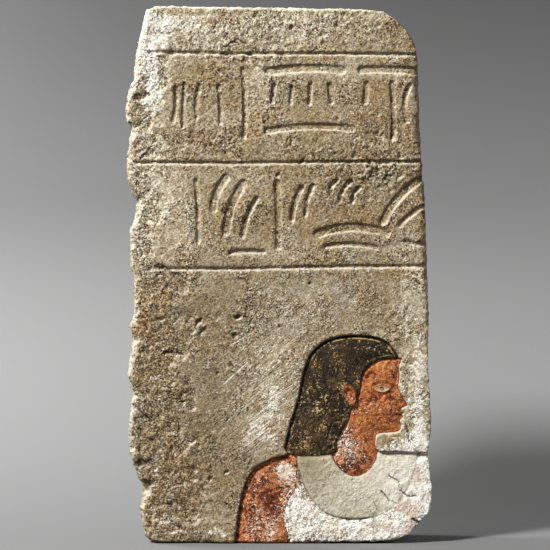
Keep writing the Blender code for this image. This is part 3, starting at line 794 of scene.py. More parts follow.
def noise(tree, vector, scale, detail=3.0, roughness=0.55, distortion=0.0):
    inputs = {"Vector": vector, "Scale": scale, "Detail": detail, "Roughness": roughness}
    inputs["Distortion"] = distortion
    return addNode(tree, "ShaderNodeTexNoise", inputs).outputs[0]


# Creased noise, 0 in its creases.
def ledges(tree, vector, scale, detail=3.0, roughness=0.6, distortion=0.0):
    even = minus(tree, noise(tree, vector, scale, detail, roughness, distortion), 0.5)
    return times(tree, calc(tree, "ABSOLUTE", even), 4.0, clamp=True)


def facets(tree, vector, scale, tilt):  # chipped planes, each cell leaning its own way
    cells = addNode(tree, "ShaderNodeTexVoronoi", {"Vector": vector, "Scale": scale})
    inside = vectorCalc(tree, "SUBTRACT", vector, cells.outputs["Position"])
    lean = vectorCalc(tree, "SUBTRACT", cells.outputs["Color"], (0.5, 0.5, 0.5))
    return times(tree, vectorCalc(tree, "DOT_PRODUCT", inside, lean, "Value"), 2.0, tilt)


def terraces(tree, vector, scale, levels, wall):  # flaked layers, and how far across its own each place is
    raised = times(tree, noise(tree, vector, scale, 4.0, 0.56, 0.3), levels)
    share = calc(tree, "FRACT", raised)
    height = plus(tree, calc(tree, "FLOOR", raised), spread(tree, share, 0.0, wall))
    return minus(tree, height, levels / 2), share


def stirred(tree, vector, scale, amount):  # coordinates pushed about, so that no edge stays straight
    push = addNode(tree, "ShaderNodeTexNoise", {"Vector": vector, "Scale": scale, "Detail": 2.0})
    even = vectorCalc(tree, "SUBTRACT", push.outputs["Color"], (0.5, 0.5, 0.5))
    return vectorCalc(tree, "ADD", vector, vectorTimes(tree, even, amount))


def mixed(tree, factor, first, second, way="MIX"):
    inputs = {0: factor, 6: first, 7: second}
    return addNode(tree, "ShaderNodeMix", inputs, data_type="RGBA", blend_type=way).outputs[2]


def mixedNumber(tree, factor, first, second):
    return addNode(tree, "ShaderNodeMix", {0: factor, 2: first, 3: second}).outputs[0]


def leaned(tree, vector, degrees, stretch):  # coordinates turned in the face's plane and squeezed along it
    inputs = {"Vector": vector, "Angle": math.radians(degrees)}
    turned = addNode(tree, "ShaderNodeVectorRotate", inputs, rotation_type="Y_AXIS").outputs[0]
    return vectorCalc(tree, "MULTIPLY", turned, (1 / stretch, 1.0, 1.0))


def newTree(name, kind, inputs, outputs):  # an input gives its first value, or only its sort
    tree = bpy.data.node_groups.new(name, kind)
    for label, value in inputs.items():
        sort = {float: "Float", tuple: "Vector"}.get(type(value), value)
        socket = tree.interface.new_socket(name=label, in_out="INPUT", socket_type="NodeSocket" + sort)
        if sort != value:
            socket.default_value = value
    for label, sort in outputs.items():
        tree.interface.new_socket(name=label, in_out="OUTPUT", socket_type="NodeSocket" + sort)
    return tree, addNode(tree, "NodeGroupInput").outputs, addNode(tree, "NodeGroupOutput").inputs


# How time has worked on the stone: sizes and depths in metres.
weathering = {
    "Wave Size": 0.034,
    "Wave Depth": 0.00070,
    "Hack Size": 0.0095,
    "Hack Depth": 0.0009,
    "Facet Size": 0.0120,
    "Facet Tilt": 0.30,
    "Chisel Size": 0.0050,
    "Chisel Depth": 0.00042,
    "Pore Size": 0.0042,
    "Pore Depth": 0.0017,
    "Strip Size": 0.0150,
    "Strip Depth": 0.0007,
    "Break Size": 0.0170,
    "Break Depth": 0.0032,
    "Saw Spacing": 0.0085,
    "Saw Depth": 0.00020,
    "Seed": 4.0,
}
chiselLean = 45.0  # the strokes of the dressing tool, in degrees
fullTurn = 6.283


def weatheringTree():
    inputs = {"Geometry": "Geometry", **weathering, "Material": "Material"}
    tree, given, taken = newTree("stoneWeathering", "GeometryNodeTree", inputs, {"Geometry": "Geometry"})

    def stored(name):
        read = addNode(tree, "GeometryNodeInputNamedAttribute", {"Name": name}, data_type="FLOAT")
        return read.outputs[0]

    def perMetre(size):
        return calc(tree, "DIVIDE", 1.0, given[size])

    def layer(value, amount, depth):  # value from 0 to 1 becomes a height either side of nothing
        even = timesPlus(tree, value, 2.0, -1.0)
        return times(tree, even, amount, given[depth])

    place = addNode(tree, "GeometryNodeInputPosition").outputs[0]
    seed = addNode(tree, "ShaderNodeCombineXYZ", {0: given["Seed"], 1: given["Seed"], 2: 0.0}).outputs[0]
    place = vectorCalc(tree, "ADD", place, seed)
    chiselled = leaned(tree, place, chiselLean, 3.0)
    plain = minus(tree, 1.0, times(tree, stored("smoothAmount"), 0.65))
    dressed = times(tree, stored("faceAmount"), plain)
    rough = plus(tree, times(tree, stored("roughAmount"), 0.8), times(tree, dressed, 0.07))
    strip = times(tree, stored("stripAmount"), 0.34)
    worst = most(tree, strip, stored("brokenAmount"), rough)
    pushed = stirred(tree, place, 150.0, 0.010)
    planes = facets(tree, pushed, perMetre("Facet Size"), given["Facet Tilt"])
    chips = facets(tree, pushed, times(tree, perMetre("Facet Size"), 2.3), given["Facet Tilt"])

    # The dressed face: slow waves, chisel strokes that lean to the right, hacking where it is rough.
    layers = [
        layer(noise(tree, place, perMetre("Wave Size"), 2.0, 0.5), dressed, "Wave Depth"),
        layer(noise(tree, chiselled, perMetre("Chisel Size"), 3.0, 0.6), dressed, "Chisel Depth"),
        layer(ledges(tree, place, perMetre("Hack Size"), 4.0, 0.62, 0.5), rough, "Hack Depth"),
        times(tree, plus(tree, planes, chips), worst),
    ]
    # The spalled strip and the broken sides: lumpy, with ledges.
    for label, amount in (("Strip", "stripAmount"), ("Break", "brokenAmount")):
        lumps = ledges(tree, place, perMetre(label + " Size"), 6.0, 0.66, 0.7)
        layers.append(layer(times(tree, lumps, 0.9), stored(amount), label + " Depth"))

    # Pores, where the stone is porous and rarely elsewhere.
    speckle = noise(tree, leaned(tree, place, chiselLean, 1.7), perMetre("Pore Size"), 2.0, 0.6)
    limit = timesPlus(tree, stored("porousAmount"), -0.17, 0.735)
    hollow = spread(tree, minus(tree, speckle, limit), 0.0, 0.07)
    hollow = times(tree, hollow, plain, stored("faceAmount"))
    layers.append(times(tree, hollow, times(tree, given["Pore Depth"], -1.0)))

    # The saw's long passes over the back.
    upright = addNode(tree, "ShaderNodeSeparateXYZ", {0: place}).outputs[2]
    wavy = timesPlus(tree, noise(tree, place, 9.0, 2.0), 0.02, upright)
    saw = calc(tree, "SINE", times(tree, wavy, times(tree, perMetre("Saw Spacing"), fullTurn)))
    layers.append(times(tree, saw, stored("backAmount"), given["Saw Depth"]))

    height = layers[0]
    for extra in layers[1:]:
        height = plus(tree, height, extra)
    normal = addNode(tree, "GeometryNodeInputNormal").outputs[0]
    steps = (
        ("GeometryNodeSetPosition", {"Offset": vectorTimes(tree, normal, height)}),
        ("GeometryNodeRealizeInstances", {}),
        ("GeometryNodeSetMaterial", {"Material": given["Material"]}),
    )
    shape = given["Geometry"]
    for kind, inputs in steps:
        shape = addNode(tree, kind, {"Geometry": shape, **inputs}).outputs[0]
    tree.links.new(shape, taken["Geometry"])
    return tree


def plainMesh(thing, name):  # the evaluated object as a mesh of its own
    bpy.context.view_layer.update()
    depsgraph = bpy.context.evaluated_depsgraph_get()
    mesh = bpy.data.meshes.new_from_object(thing.evaluated_get(depsgraph))
    mesh.name = name
    return mesh


def weatheredSlab(mesh, material):
    thing = bpy.data.objects.new("limestoneSlab", mesh)
    bpy.context.scene.collection.objects.link(thing)
    tree = weatheringTree()
    worn = thing.modifiers.new("weathering", "NODES")
    worn.node_group = tree
    values = {**weathering, "Material": material}
    for item in tree.interface.items_tree:
        if item.in_out == "INPUT" and item.name in values:
            worn[item.identifier] = values[item.name]
    fine = plainMesh(thing, "weatheredSlab")
    thing.modifiers.remove(worn)
    thing.data = fine
    print("stage: weathered,", len(fine.vertices), "points")
    thin = thing.modifiers.new("thin", "DECIMATE")
    thin.ratio = slab["keptTriangles"] / (2 * len(fine.polygons))
    kept = plainMesh(thing, "limestoneSlab")
    thing.modifiers.remove(thin)
    places = readPoints(kept.vertices, "co")
    places[:, 2] = np.maximum(places[:, 2], 0.0)  # flat where it stands
    kept.vertices.foreach_set("co", places.ravel())
    thing.data = kept
    print("stage: thinned,", len(kept.polygons), "faces")
    return thing


# Where the finish changes behind the face, in metres, and how strong its masks are there.
finish = {
    "litHeights": (0.30, 0.50),
    "litDepths": (0.010, 0.030),
    "sawnDepths": (0.033, 0.038),
    "sawnEdge": (0.002, 0.012),
    "dentDepths": (0.0002, 0.0011),
    "figureRough": 0.6,
    "sawnSmooth": 0.7,
    "sidePale": 0.25,
    # A painted highlight on the sides near the face and high up.
    "litPale": 0.3,
    "sideOchre": 0.22,
    # Painted shade on the rest of the sides.
    "sideDusky": 0.15,
}


def markFinish(thing):  # what the materials read, at the finished mesh's own places
    mesh = thing.data
    x, y, z = readPoints(mesh.vertices, "co").astype(float).T
    gaps = sideDistances(x, z)
    front, edges = carvedFront(x, z, *[np.clip(gap, 0.0, None) for gap in gaps])
    behind = y - slabFront
    onFace = 1 - smoothStep(*slab["faceEnds"], behind)
    offFace = 1 - onFace
    # The sides near the face and high up, which are painted paler as a highlight.
    lit = smoothStep(*finish["litHeights"], z) * (1 - smoothStep(*finish["litDepths"], behind))
    sawn = smoothStep(*finish["sawnDepths"], y) * smoothStep(*finish["sawnEdge"], least(*gaps))
    onStone = onFace * (edges["sunk"] < 0)
    _, _, ear = earRelief(x, z)
    arm = insideDistance(x, z, figurePoints(paintedArm))
    skin = np.maximum(np.minimum(edges["face"], -edges["wig"]), ear)
    skin = np.maximum(np.minimum(skin, -edges["collar"]), ear)
    shoulder = least(edges["torso"], arm, -edges["collar"], -edges["wig"])
    throat = insideDistance(x, z, figurePoints(rounded(neckline, 3)))
    throat = least(throat, edges["sunk"], -edges["wig"], edges["throat"])
    skin = np.maximum(np.maximum(skin, shoulder), throat)
    rough = softSpots(x, z, areas["rough"])
    unpainted = (skin < 0) * (edges["wig"] < 0)
    rough = np.where(edges["sunk"] < 0, rough, finish["figureRough"] * rough * unpainted)
    eyeAlong, eyeUp = eyeShares(x, z)
    storeValues(
        mesh,
        wigEdge=np.minimum(edges["wig"], -ear),
        skinEdge=skin,
        collarEdge=least(edges["collar"], -edges["wig"], edges["torso"]),
        sunkEdge=edges["sunk"],
        eyeAlong=eyeAlong + 9 * offFace,
        eyeUp=eyeUp,
        earEdge=ear,
        dent=smoothStep(*finish["dentDepths"], -namedDamage(x, z)) * onFace,
        relief=(slabFront - front - y) * onFace + offFace * 0.0005,
        cutEdge=edges["away"] + offFace,
        redArea=softSpots(x, z, areas["redDeep"]),
        bareArea=softSpots(x, z, areas["bare"]),
        roughArea=np.maximum(rough, edges["strip"]) * onFace,
        broken=offFace * (1 - finish["sawnSmooth"] * sawn),
        whiteArea=softSpots(x, z, areas["white"]) * (1 - smoothStep(*slab["limeEnds"], behind)),
        # On the sides the lit share is a painted highlight, and the dusky share away from it painted
        # shade.
        paleArea=softSpots(x, z, areas["pale"]) * onFace
        + offFace * (finish["sidePale"] + finish["litPale"] * lit),
        ochreArea=softSpots(x, z, areas["ochre"]) * onFace + finish["sideOchre"] * offFace,
        porousArea=softSpots(x, z, areas["porous"]) * onStone,
        tooled=softSpots(x, z, areas["tooled"]) * onStone,
        duskyArea=softSpots(x, z, areas["dusky"]) * onFace + finish["sideDusky"] * offFace * (1 - lit),
    )


# The stone's own colours, linear, and its fine surface: sizes and depths in metres.
stone = {
    "pale": (0.45, 0.390, 0.284, 1.0),
    "buff": (0.315, 0.243, 0.131, 1.0),
    "dusty": (0.63, 0.550, 0.400, 1.0),
    "ochre": (0.33, 0.195, 0.075, 1.0),
    "dusky": (0.190, 0.142, 0.072, 1.0),
    "stain": (0.50, 0.33, 0.20, 1.0),
    # Dirt, and painted shade in recesses and on down-facing surfaces.
    "dirtAndShade": (0.085, 0.052, 0.021, 1.0),
    "white": (0.94, 0.89, 0.785, 1.0),
    # The painted highlight's colour, with dust.
    "paleHighlightAndDust": (0.84, 0.77, 0.63, 1.0),
    "flake": (0.86, 0.86, 0.84, 1.0),
    "flakeSize": 0.021,
    "flakeStep": 0.00085,
    "grainSize": 0.0034,
    "grainDepth": 0.0030,
    "holeDepth": 0.0010,
    "wallStep": 0.0010,
    "dentDepth": 0.0012,
    "scratchDepth": 0.0005,
    "crackWaver": 0.006,
    "toolDepth": 0.0016,
    "lumpDepth": 0.0027,
}


def stoneSurfaceGroup():  # a height in metres, and how deep in its own creases each place lies
    inputs = {
        "Flake Size": stone["flakeSize"],
        "Flake Step": stone["flakeStep"],
        "Grain Size": stone["grainSize"],
        "Grain Depth": stone["grainDepth"],
        "Hole Depth": stone["holeDepth"],
        "Tool Depth": stone["toolDepth"],
        "Lump Depth": stone["lumpDepth"],
        "Roughness": 0.5,
        "Porous": 0.0,
        "Tooled": 0.0,
        "Lumpy": 0.0,
    }
    outputs = dict.fromkeys(("Height", "Recess", "Grain", "Fine", "Busy"), "Float")
    tree, given, taken = newTree("stoneSurface", "ShaderNodeTree", inputs, outputs)
    place = objectPlace(tree)

    def scaled(size, factor):
        return calc(tree, "DIVIDE", factor, given[size])

    # Flaked layers, thicker where the stone is rough or busy.
    busy = spread(tree, noise(tree, place, 38.0, 4.0, 0.62), 0.45, 0.62)
    busy = most(tree, busy, given["Porous"], given["Roughness"])
    rough = timesPlus(tree, given["Roughness"], 0.95, timesPlus(tree, busy, 0.24, 0.10))
    flakes, across = terraces(tree, place, scaled("Flake Size", 1.0), 9.0, 0.20)
    leaning = leaned(tree, place, chiselLean, 1.5)
    scales, along = terraces(tree, leaning, scaled("Flake Size", 2.7), 7.0, 0.26)
    layers = times(tree, timesPlus(tree, scales, 0.50, flakes), given["Flake Step"])
    height = times(tree, layers, rough)

    # Grain that leans with the dressing strokes, small holes and the tool's fine lines.
    grain = noise(tree, leaned(tree, place, chiselLean, 1.6), scaled("Grain Size", 1.0), 3.0, 0.70)
    fine = noise(tree, place, scaled("Grain Size", 2.0), 1.0, 0.6)
    lines = noise(tree, leaned(tree, place, 39.0, 26.0), scaled("Grain Size", 2.0), 2.0, 0.6)
    both = timesPlus(tree, grain, 0.60, times(tree, fine, 0.40))
    grainDepth = times(tree, given["Grain Depth"], timesPlus(tree, busy, 0.55, 0.42))
    grainDepth = times(tree, grainDepth, timesPlus(tree, given["Roughness"], -0.30, 1.0))
    grainDepth = times(tree, grainDepth, timesPlus(tree, given["Lumpy"], -0.62, 1.0))
    height = timesPlus(tree, both, grainDepth, height)
    limit = timesPlus(tree, busy, -0.085, timesPlus(tree, given["Porous"], -0.05, 0.705))
    speckle = noise(tree, leaned(tree, place, chiselLean, 1.4), scaled("Grain Size", 1.05), 2.0, 0.55)
    holes = spread(tree, minus(tree, speckle, limit), 0.0, 0.05)
    holeDepth = times(tree, given["Hole Depth"], timesPlus(tree, given["Lumpy"], 0.75, -1.0))
    height = timesPlus(tree, holes, holeDepth, height)
    lineDepth = times(tree, given["Tool Depth"], plus(tree, given["Tooled"], 0.12))
    height = timesPlus(tree, lines, lineDepth, height)

    # Lumps of lime.
    lumps = noise(tree, place, 105.0, 3.0, 0.55, 0.4)
    height = timesPlus(tree, lumps, times(tree, given["Lump Depth"], given["Lumpy"]), height)

    # The layers' edges, pits and holes are darkened: painted shade, with some dirt.
    creases = most(tree, spread(tree, across, 0.78, 1.0), spread(tree, along, 0.76, 1.0, 0.0, 0.7))
    creases = times(tree, creases, times(tree, rough, 0.85), clamp=True)
    pits = times(tree, spread(tree, both, 0.36, 0.43, 0.8, 0.0), busy)
    deepest = most(tree, creases, pits, times(tree, holes, 0.9))
    scored = times(tree, minus(tree, lines, 0.5), given["Tooled"])
    tree.links.new(height, taken["Height"])
    tree.links.new(deepest, taken["Recess"])
    tree.links.new(both, taken["Grain"])
    tree.links.new(timesPlus(tree, scored, 1.3, fine), taken["Fine"])
    tree.links.new(busy, taken["Busy"])
    return tree


def stoneColourGroup():
    inputs = {
        "Patch Size": 0.048,
        "Mottle Size": 0.0095,
        "Pale": 0.0,
        "Ochre": 0.0,
        "Dusky": 0.0,
        "White": 0.0,
        "Grain": 0.5,
        "Fine": 0.5,
        "Busy": 0.5,
        "Recess": 0.0,
    }
    tree, given, taken = newTree("stoneColour", "ShaderNodeTree", inputs, {"Colour": "Color"})
    place = objectPlace(tree)
    patches = noise(tree, place, calc(tree, "DIVIDE", 1.0, given["Patch Size"]), 4.0, 0.62)
    mottle = noise(tree, place, calc(tree, "DIVIDE", 1.0, given["Mottle Size"]), 4.0, 0.68)
    wide = noise(tree, place, calc(tree, "DIVIDE", 2.2, given["Patch Size"]), 5.0, 0.66, 0.5)

    def uneven(amount, source, share):  # an area that is stronger and weaker by turns
        moved = spread(tree, source, 0.38, 0.62, 0.25, 1.25)
        return times(tree, amount, moved, share, clamp=True)

    limed = timesPlus(tree, given["Grain"], 0.7, timesPlus(tree, mottle, 0.6, -0.65))
    limed = spread(tree, plus(tree, times(tree, given["White"], 1.1), limed), 0.30, 0.60)
    layers = (  # pale, ochre and dusky patches on buff, then lime and the stains in it; the pale and dusky areas also carry painted highlight and shade
        (spread(tree, patches, 0.40, 0.60, 0.0, 0.50), "pale"),
        (uneven(given["Pale"], mottle, 0.90), "dusty"),
        (spread(tree, wide, 0.54, 0.68, 0.0, 0.45), "ochre"),
        (uneven(given["Ochre"], wide, 0.62), "ochre"),
        (spread(tree, mottle, 0.54, 0.68, 0.0, 0.45), "dusky"),
        (uneven(given["Dusky"], patches, 0.55), "dusky"),
        (times(tree, limed, 0.92), "white"),
        (times(tree, spread(tree, wide, 0.48, 0.57, 0.0, 0.52), given["White"]), "stain"),
    )
    colour = stone["buff"]
    for mask, name in layers:
        colour = mixed(tree, mask, colour, stone[name])
    # Light and dark crumbs, bright flakes, dirt, and painted shade in the recesses.
    busy = timesPlus(tree, given["Busy"], 0.74, 0.68)
    crumbs = spread(tree, given["Grain"], 0.38, 0.62, -0.55, 0.55, smooth=False)
    crumbs = plus(tree, crumbs, spread(tree, given["Fine"], 0.30, 0.70, -0.45, 0.45, smooth=False))
    busy = times(tree, busy, timesPlus(tree, given["White"], -0.62, 1.0))
    crumbs = times(tree, crumbs, busy)
    warmth = [timesPlus(tree, crumbs, share, 1.0) for share in (0.86, 1.0, 1.16)]  # dark crumbs are warm
    shade = addNode(tree, "ShaderNodeCombineColor", dict(enumerate(warmth))).outputs[0]
    colour = mixed(tree, 1.0, colour, shade, "MULTIPLY")
    specks = noise(tree, place, 400.0, 3.0, 0.72)
    bright = times(tree, spread(tree, specks, 0.56, 0.66), spread(tree, mottle, 0.46, 0.60, 0.10, 0.85))
    bright = times(tree, bright, busy)
    colour = mixed(tree, bright, colour, stone["flake"])
    dark = times(tree, spread(tree, specks, 0.34, 0.43, 0.75, 0.0), busy)
    dark = times(tree, dark, timesPlus(tree, given["White"], -0.85, 1.0))
    recess = times(tree, given["Recess"], timesPlus(tree, given["White"], -0.62, 0.85))
    dark = most(tree, dark, recess)
    colour = mixed(tree, dark, colour, stone["dirtAndShade"])
    tree.links.new(colour, taken["Colour"])
    return tree


def wornPaintGroup():
    inputs = {
        "Edge": 0.0,
        "Waver": 0.0008,
        "Loss": 0.3,
        "Fleck Size": 0.0030,
        "Patchiness": 0.40,
        "Seed": 0.0,
    }
    tree, given, taken = newTree("wornPaint", "ShaderNodeTree", inputs, {"Cover": "Float"})
    place = objectPlace(tree)
    shift = addNode(tree, "ShaderNodeCombineXYZ", {0: given["Seed"], 1: 0.0, 2: given["Seed"]}).outputs[0]
    place = vectorCalc(tree, "ADD", place, shift)
    size = calc(tree, "DIVIDE", 1.0, given["Fleck Size"])
    ragged = minus(tree, noise(tree, place, size, 3.0, 0.6), 0.5)
    edge = timesPlus(tree, ragged, times(tree, given["Waver"], 2.0), given["Edge"])
    inside = spread(tree, edge, -0.0003, 0.0003)
    broad = noise(tree, place, times(tree, size, 0.16), 3.0, 0.6)
    flakes = noise(tree, place, times(tree, size, 1.3), 4.0, 0.75)
    rest = mixedNumber(tree, given["Patchiness"], flakes, broad)
    limit = timesPlus(tree, given["Loss"], 0.40, 0.30)
    kept = spread(tree, minus(tree, rest, limit), -0.020, 0.020)
    tree.links.new(times(tree, inside, kept), taken["Cover"])
    return tree


# The paint that is left, linear.
paint = {
    "black": (0.018, 0.013, 0.007, 1.0),
    "blackWorn": (0.135, 0.082, 0.030, 1.0),
    "red": (0.41, 0.118, 0.031, 1.0),
    "redDeep": (0.10, 0.017, 0.007, 1.0),
    "redPale": (0.58, 0.240, 0.082, 1.0),
    "plaster": (0.92, 0.77, 0.63, 1.0),
    "wigBareAndHighlight": (0.60, 0.41, 0.17, 1.0),
    "cream": (0.60, 0.535, 0.365, 1.0),
    "creamDull": (0.24, 0.175, 0.080, 1.0),
    "eye": (0.60, 0.45, 0.27, 1.0),
    "blackLoss": 0.29,
    "redLoss": 0.20,
    "creamLoss": 0.15,
}


def ledgeLightAndDustGroup():  # painted highlight with some dust where the surface looks up and left, towards the key light; painted shade with some dirt where it looks down
    inputs = {"Way": (-0.5, 0.0, 0.866)}
    outputs = {"HighlightAndDust": "Float", "ShadeAndGrime": "Float"}
    tree, given, taken = newTree("ledgeLightAndDust", "ShaderNodeTree", inputs, outputs)
    facing = addNode(tree, "ShaderNodeNewGeometry").outputs["Normal"]
    upward = vectorCalc(tree, "DOT_PRODUCT", facing, given["Way"], "Value")
    tree.links.new(spread(tree, upward, 0.12, 0.62), taken["HighlightAndDust"])
    tree.links.new(spread(tree, upward, -0.62, -0.12, 1.0, 0.0), taken["ShadeAndGrime"])
    return tree


def scratchGroup():  # 1 along a scored line or a crack on the face, 0 off it
    inputs = {
        "Start": "Vector",
        "Run": (0.02, 0.0, 0.02),
        "Half Width": 0.0008,
        "Waver": 0.0,
    }
    tree, given, taken = newTree("scratch", "ShaderNodeTree", inputs, {"Mask": "Float"})
    run = given["Run"]
    place = stirred(tree, objectPlace(tree), 170.0, given["Waver"])
    away = vectorCalc(tree, "SUBTRACT", place, given["Start"])
    away = vectorCalc(tree, "MULTIPLY", away, (1.0, 0.0, 1.0))
    reach = vectorCalc(tree, "DOT_PRODUCT", away, run, "Value")
    whole = vectorCalc(tree, "DOT_PRODUCT", run, run, "Value")
    along = vectorTimes(tree, run, calc(tree, "DIVIDE", reach, whole, clamp=True))
    gap = vectorCalc(tree, "DISTANCE", away, along, "Value")
    gap = calc(tree, "DIVIDE", gap, given["Half Width"])
    ragged = timesPlus(tree, noise(tree, place, 600.0, 2.0), 0.9, 0.2)
    tree.links.new(times(tree, spread(tree, gap, 0.5, 1.3, 1.0, 0.0), ragged, clamp=True), taken["Mask"])
    return tree


def mark(tree, label):  # a value that the mesh keeps at each of its points
    return addNode(tree, "ShaderNodeAttribute", attribute_name=label).outputs["Fac"]


def placed(tree, group, inputs):
    return addNode(tree, "ShaderNodeGroup", inputs, node_tree=group).outputs


def band(tree, value, middle, inner, outer, strength=1.0):  # strongest where the value is near its middle
    away = calc(tree, "ABSOLUTE", minus(tree, value, middle))
    return spread(tree, away, inner, outer, strength, 0.0)


def drawnLines(tree, group, places, waver):  # the lines of a list, drawn together
    masks = []
    for x0, z0, x1, z1, width in places:
        line = placed(tree, group, {
            "Start": (x0 / 1000, 0.0, z0 / 1000),
            "Run": ((x1 - x0) / 1000, 0.0, (z1 - z0) / 1000),
            "Half Width": width / 1000,
            "Waver": waver,
        })
        masks.append(line["Mask"])
    return most(tree, *masks)


def redPaint(tree, blotch, mottle):  # the skin: redder by patches, darker at its outline and round the ear
    red = mixed(tree, spread(tree, blotch, 0.46, 0.62, 0.0, 0.8), paint["red"], paint["redPale"])
    red = mixed(tree, spread(tree, mottle, 0.40, 0.48, 0.92, 0.0), red, paint["redDeep"])
    edge = spread(tree, mark(tree, "skinEdge"), 0.0006, 0.0017, 0.8, 0.0)
    red = mixed(tree, edge, red, paint["redDeep"])
    fold = band(tree, mark(tree, "earEdge"), 0.0028, 0.0003, 0.0009, 0.6)
    return mixed(tree, fold, red, paint["redDeep"])


def blackPaint(tree, place, crown, blotch, mottle):  # the wig: worn along its strands, with a pale rim along its top that is bare stone and painted highlight
    strands = noise(tree, leaned(tree, place, 76.0, 9.0), 520.0, 2.0)
    strands = timesPlus(tree, strands, 0.22, times(tree, mottle, 0.78))
    brown = spread(tree, strands, 0.45, 0.62)
    brown = times(tree, brown, spread(tree, crown, 0.165, 0.205, 1.0, 0.45))
    black = mixed(tree, brown, paint["black"], paint["blackWorn"])
    # The pale rim inside the wig's top edge is bare stone and partly a painted highlight.
    rim = band(tree, mark(tree, "wigEdge"), 0.0036, 0.0003, 0.0011, 0.7)
    rim = times(tree, rim, spread(tree, crown, 0.196, 0.212), spread(tree, blotch, 0.42, 0.50))
    return mixed(tree, rim, black, paint["wigBareAndHighlight"])


def creamPaint(tree, blotch):  # the collar: duller where it is dirty, white where lime covers it
    cream = mixed(tree, spread(tree, blotch, 0.36, 0.60, 0.35, 1.0), paint["creamDull"], paint["cream"])
    cream = mixed(tree, times(tree, mark(tree, "duskyArea"), 0.8), cream, paint["creamDull"])
    return mixed(tree, times(tree, mark(tree, "whiteArea"), 0.70), cream, stone["white"])


def collarShadow(tree, blotch):  # a dark line along the collar
    outline = band(tree, mark(tree, "collarEdge"), -0.0003, 0.0004, 0.0012, 0.9)
    limed = timesPlus(tree, mark(tree, "whiteArea"), -0.6, 1.0, clamp=True)
    return times(tree, outline, spread(tree, blotch, 0.36, 0.50, 0.5, 1.0), limed)


def paintedFigure(tree, colour, group):
    place = objectPlace(tree)
    crown = addNode(tree, "ShaderNodeSeparateXYZ", {0: place}).outputs[2]
    blotch = noise(tree, place, 230.0, 4.0, 0.72)
    broad = noise(tree, place, 62.0, 3.0, 0.6)
    mottle = timesPlus(tree, blotch, 0.6, times(tree, broad, 0.4))
    mottle = minus(tree, mottle, times(tree, mark(tree, "redArea"), 0.13))
    cream = creamPaint(tree, blotch)
    red = redPaint(tree, blotch, mottle)
    black = blackPaint(tree, place, crown, blotch, mottle)
    redLoss = timesPlus(tree, mark(tree, "bareArea"), 0.48, paint["redLoss"])
    blackLoss = plus(tree, spread(tree, crown, 0.165, 0.200, 0.05, -0.04), paint["blackLoss"])
    # Each layer's outline, colour, what shows where it is lost, and its wear.
    layers = (
        ("collarEdge", cream, stone["white"], paint["creamLoss"], 0.0030, 0.40, 5.0),
        ("skinEdge", red, paint["plaster"], redLoss, 0.0026, 0.22, 2.0),
        ("wigEdge", black, paint["wigBareAndHighlight"], blackLoss, 0.0030, 0.30, 3.0),
    )
    for label, layer, under, loss, size, patchy, seed in layers:
        edge = mark(tree, label)
        wear = {"Edge": edge, "Loss": loss, "Fleck Size": size, "Patchiness": patchy, "Seed": seed}
        colour = mixed(tree, spread(tree, edge, 0.0, 0.0006, 0.0, 0.75), colour, under)
        colour = mixed(tree, placed(tree, group, wear)["Cover"], colour, layer)
        if label == "collarEdge":
            colour = mixed(tree, collarShadow(tree, blotch), colour, stone["dirtAndShade"])
    return colour


def grainyPaint(tree, colour, surface, collar):  # the stone's grain shows through the paint
    speckle = spread(tree, surface["Grain"], 0.38, 0.62, 0.48, 1.52, smooth=False)
    shade = addNode(tree, "ShaderNodeCombineColor", {0: speckle, 1: speckle, 2: speckle}).outputs[0]
    onPaint = spread(tree, mark(tree, "sunkEdge"), 0.0, 0.001)
    onPaint = times(tree, onPaint, timesPlus(tree, collar, -0.6, 1.0))
    limed = timesPlus(tree, mark(tree, "whiteArea"), -0.75, 1.0, clamp=True)
    onPaint = times(tree, onPaint, limed)
    colour = mixed(tree, onPaint, colour, mixed(tree, 1.0, colour, shade, "MULTIPLY"))
    # Darker in the recesses: painted shade, with some dirt.
    return mixed(tree, times(tree, surface["Recess"], onPaint, 0.45), colour, stone["dirtAndShade"])


def drawnEye(tree, colour):  # the eye's ball, pupil, lids and brow
    along, up = mark(tree, "eyeAlong"), mark(tree, "eyeUp")
    squared = times(tree, along, along)
    lids = minus(tree, minus(tree, 1.0, squared), calc(tree, "ABSOLUTE", up))
    colour = mixed(tree, spread(tree, lids, -0.10, 0.10, 0.0, 0.85), colour, paint["eye"])
    pupil = addNode(tree, "ShaderNodeCombineXYZ", {0: times(tree, along, 2.7), 1: up, 2: 0.0})
    pupil = addNode(tree, "ShaderNodeVectorMath", {0: pupil.outputs[0]}, operation="LENGTH")
    pupil = spread(tree, pupil.outputs["Value"], 0.62, 0.80, 1.0, 0.0)
    line = times(tree, band(tree, lids, -0.05, 0.10, 0.24), band(tree, along, 0.0, 1.02, 1.10))
    brow = band(tree, up, timesPlus(tree, squared, -0.9, 2.5), 0.14, 0.34, 0.8)
    brow = times(tree, brow, band(tree, along, 0.0, 1.10, 1.30))
    drawn = most(tree, pupil, line, brow)
    return mixed(tree, times(tree, drawn, 0.62), colour, paint["redDeep"])


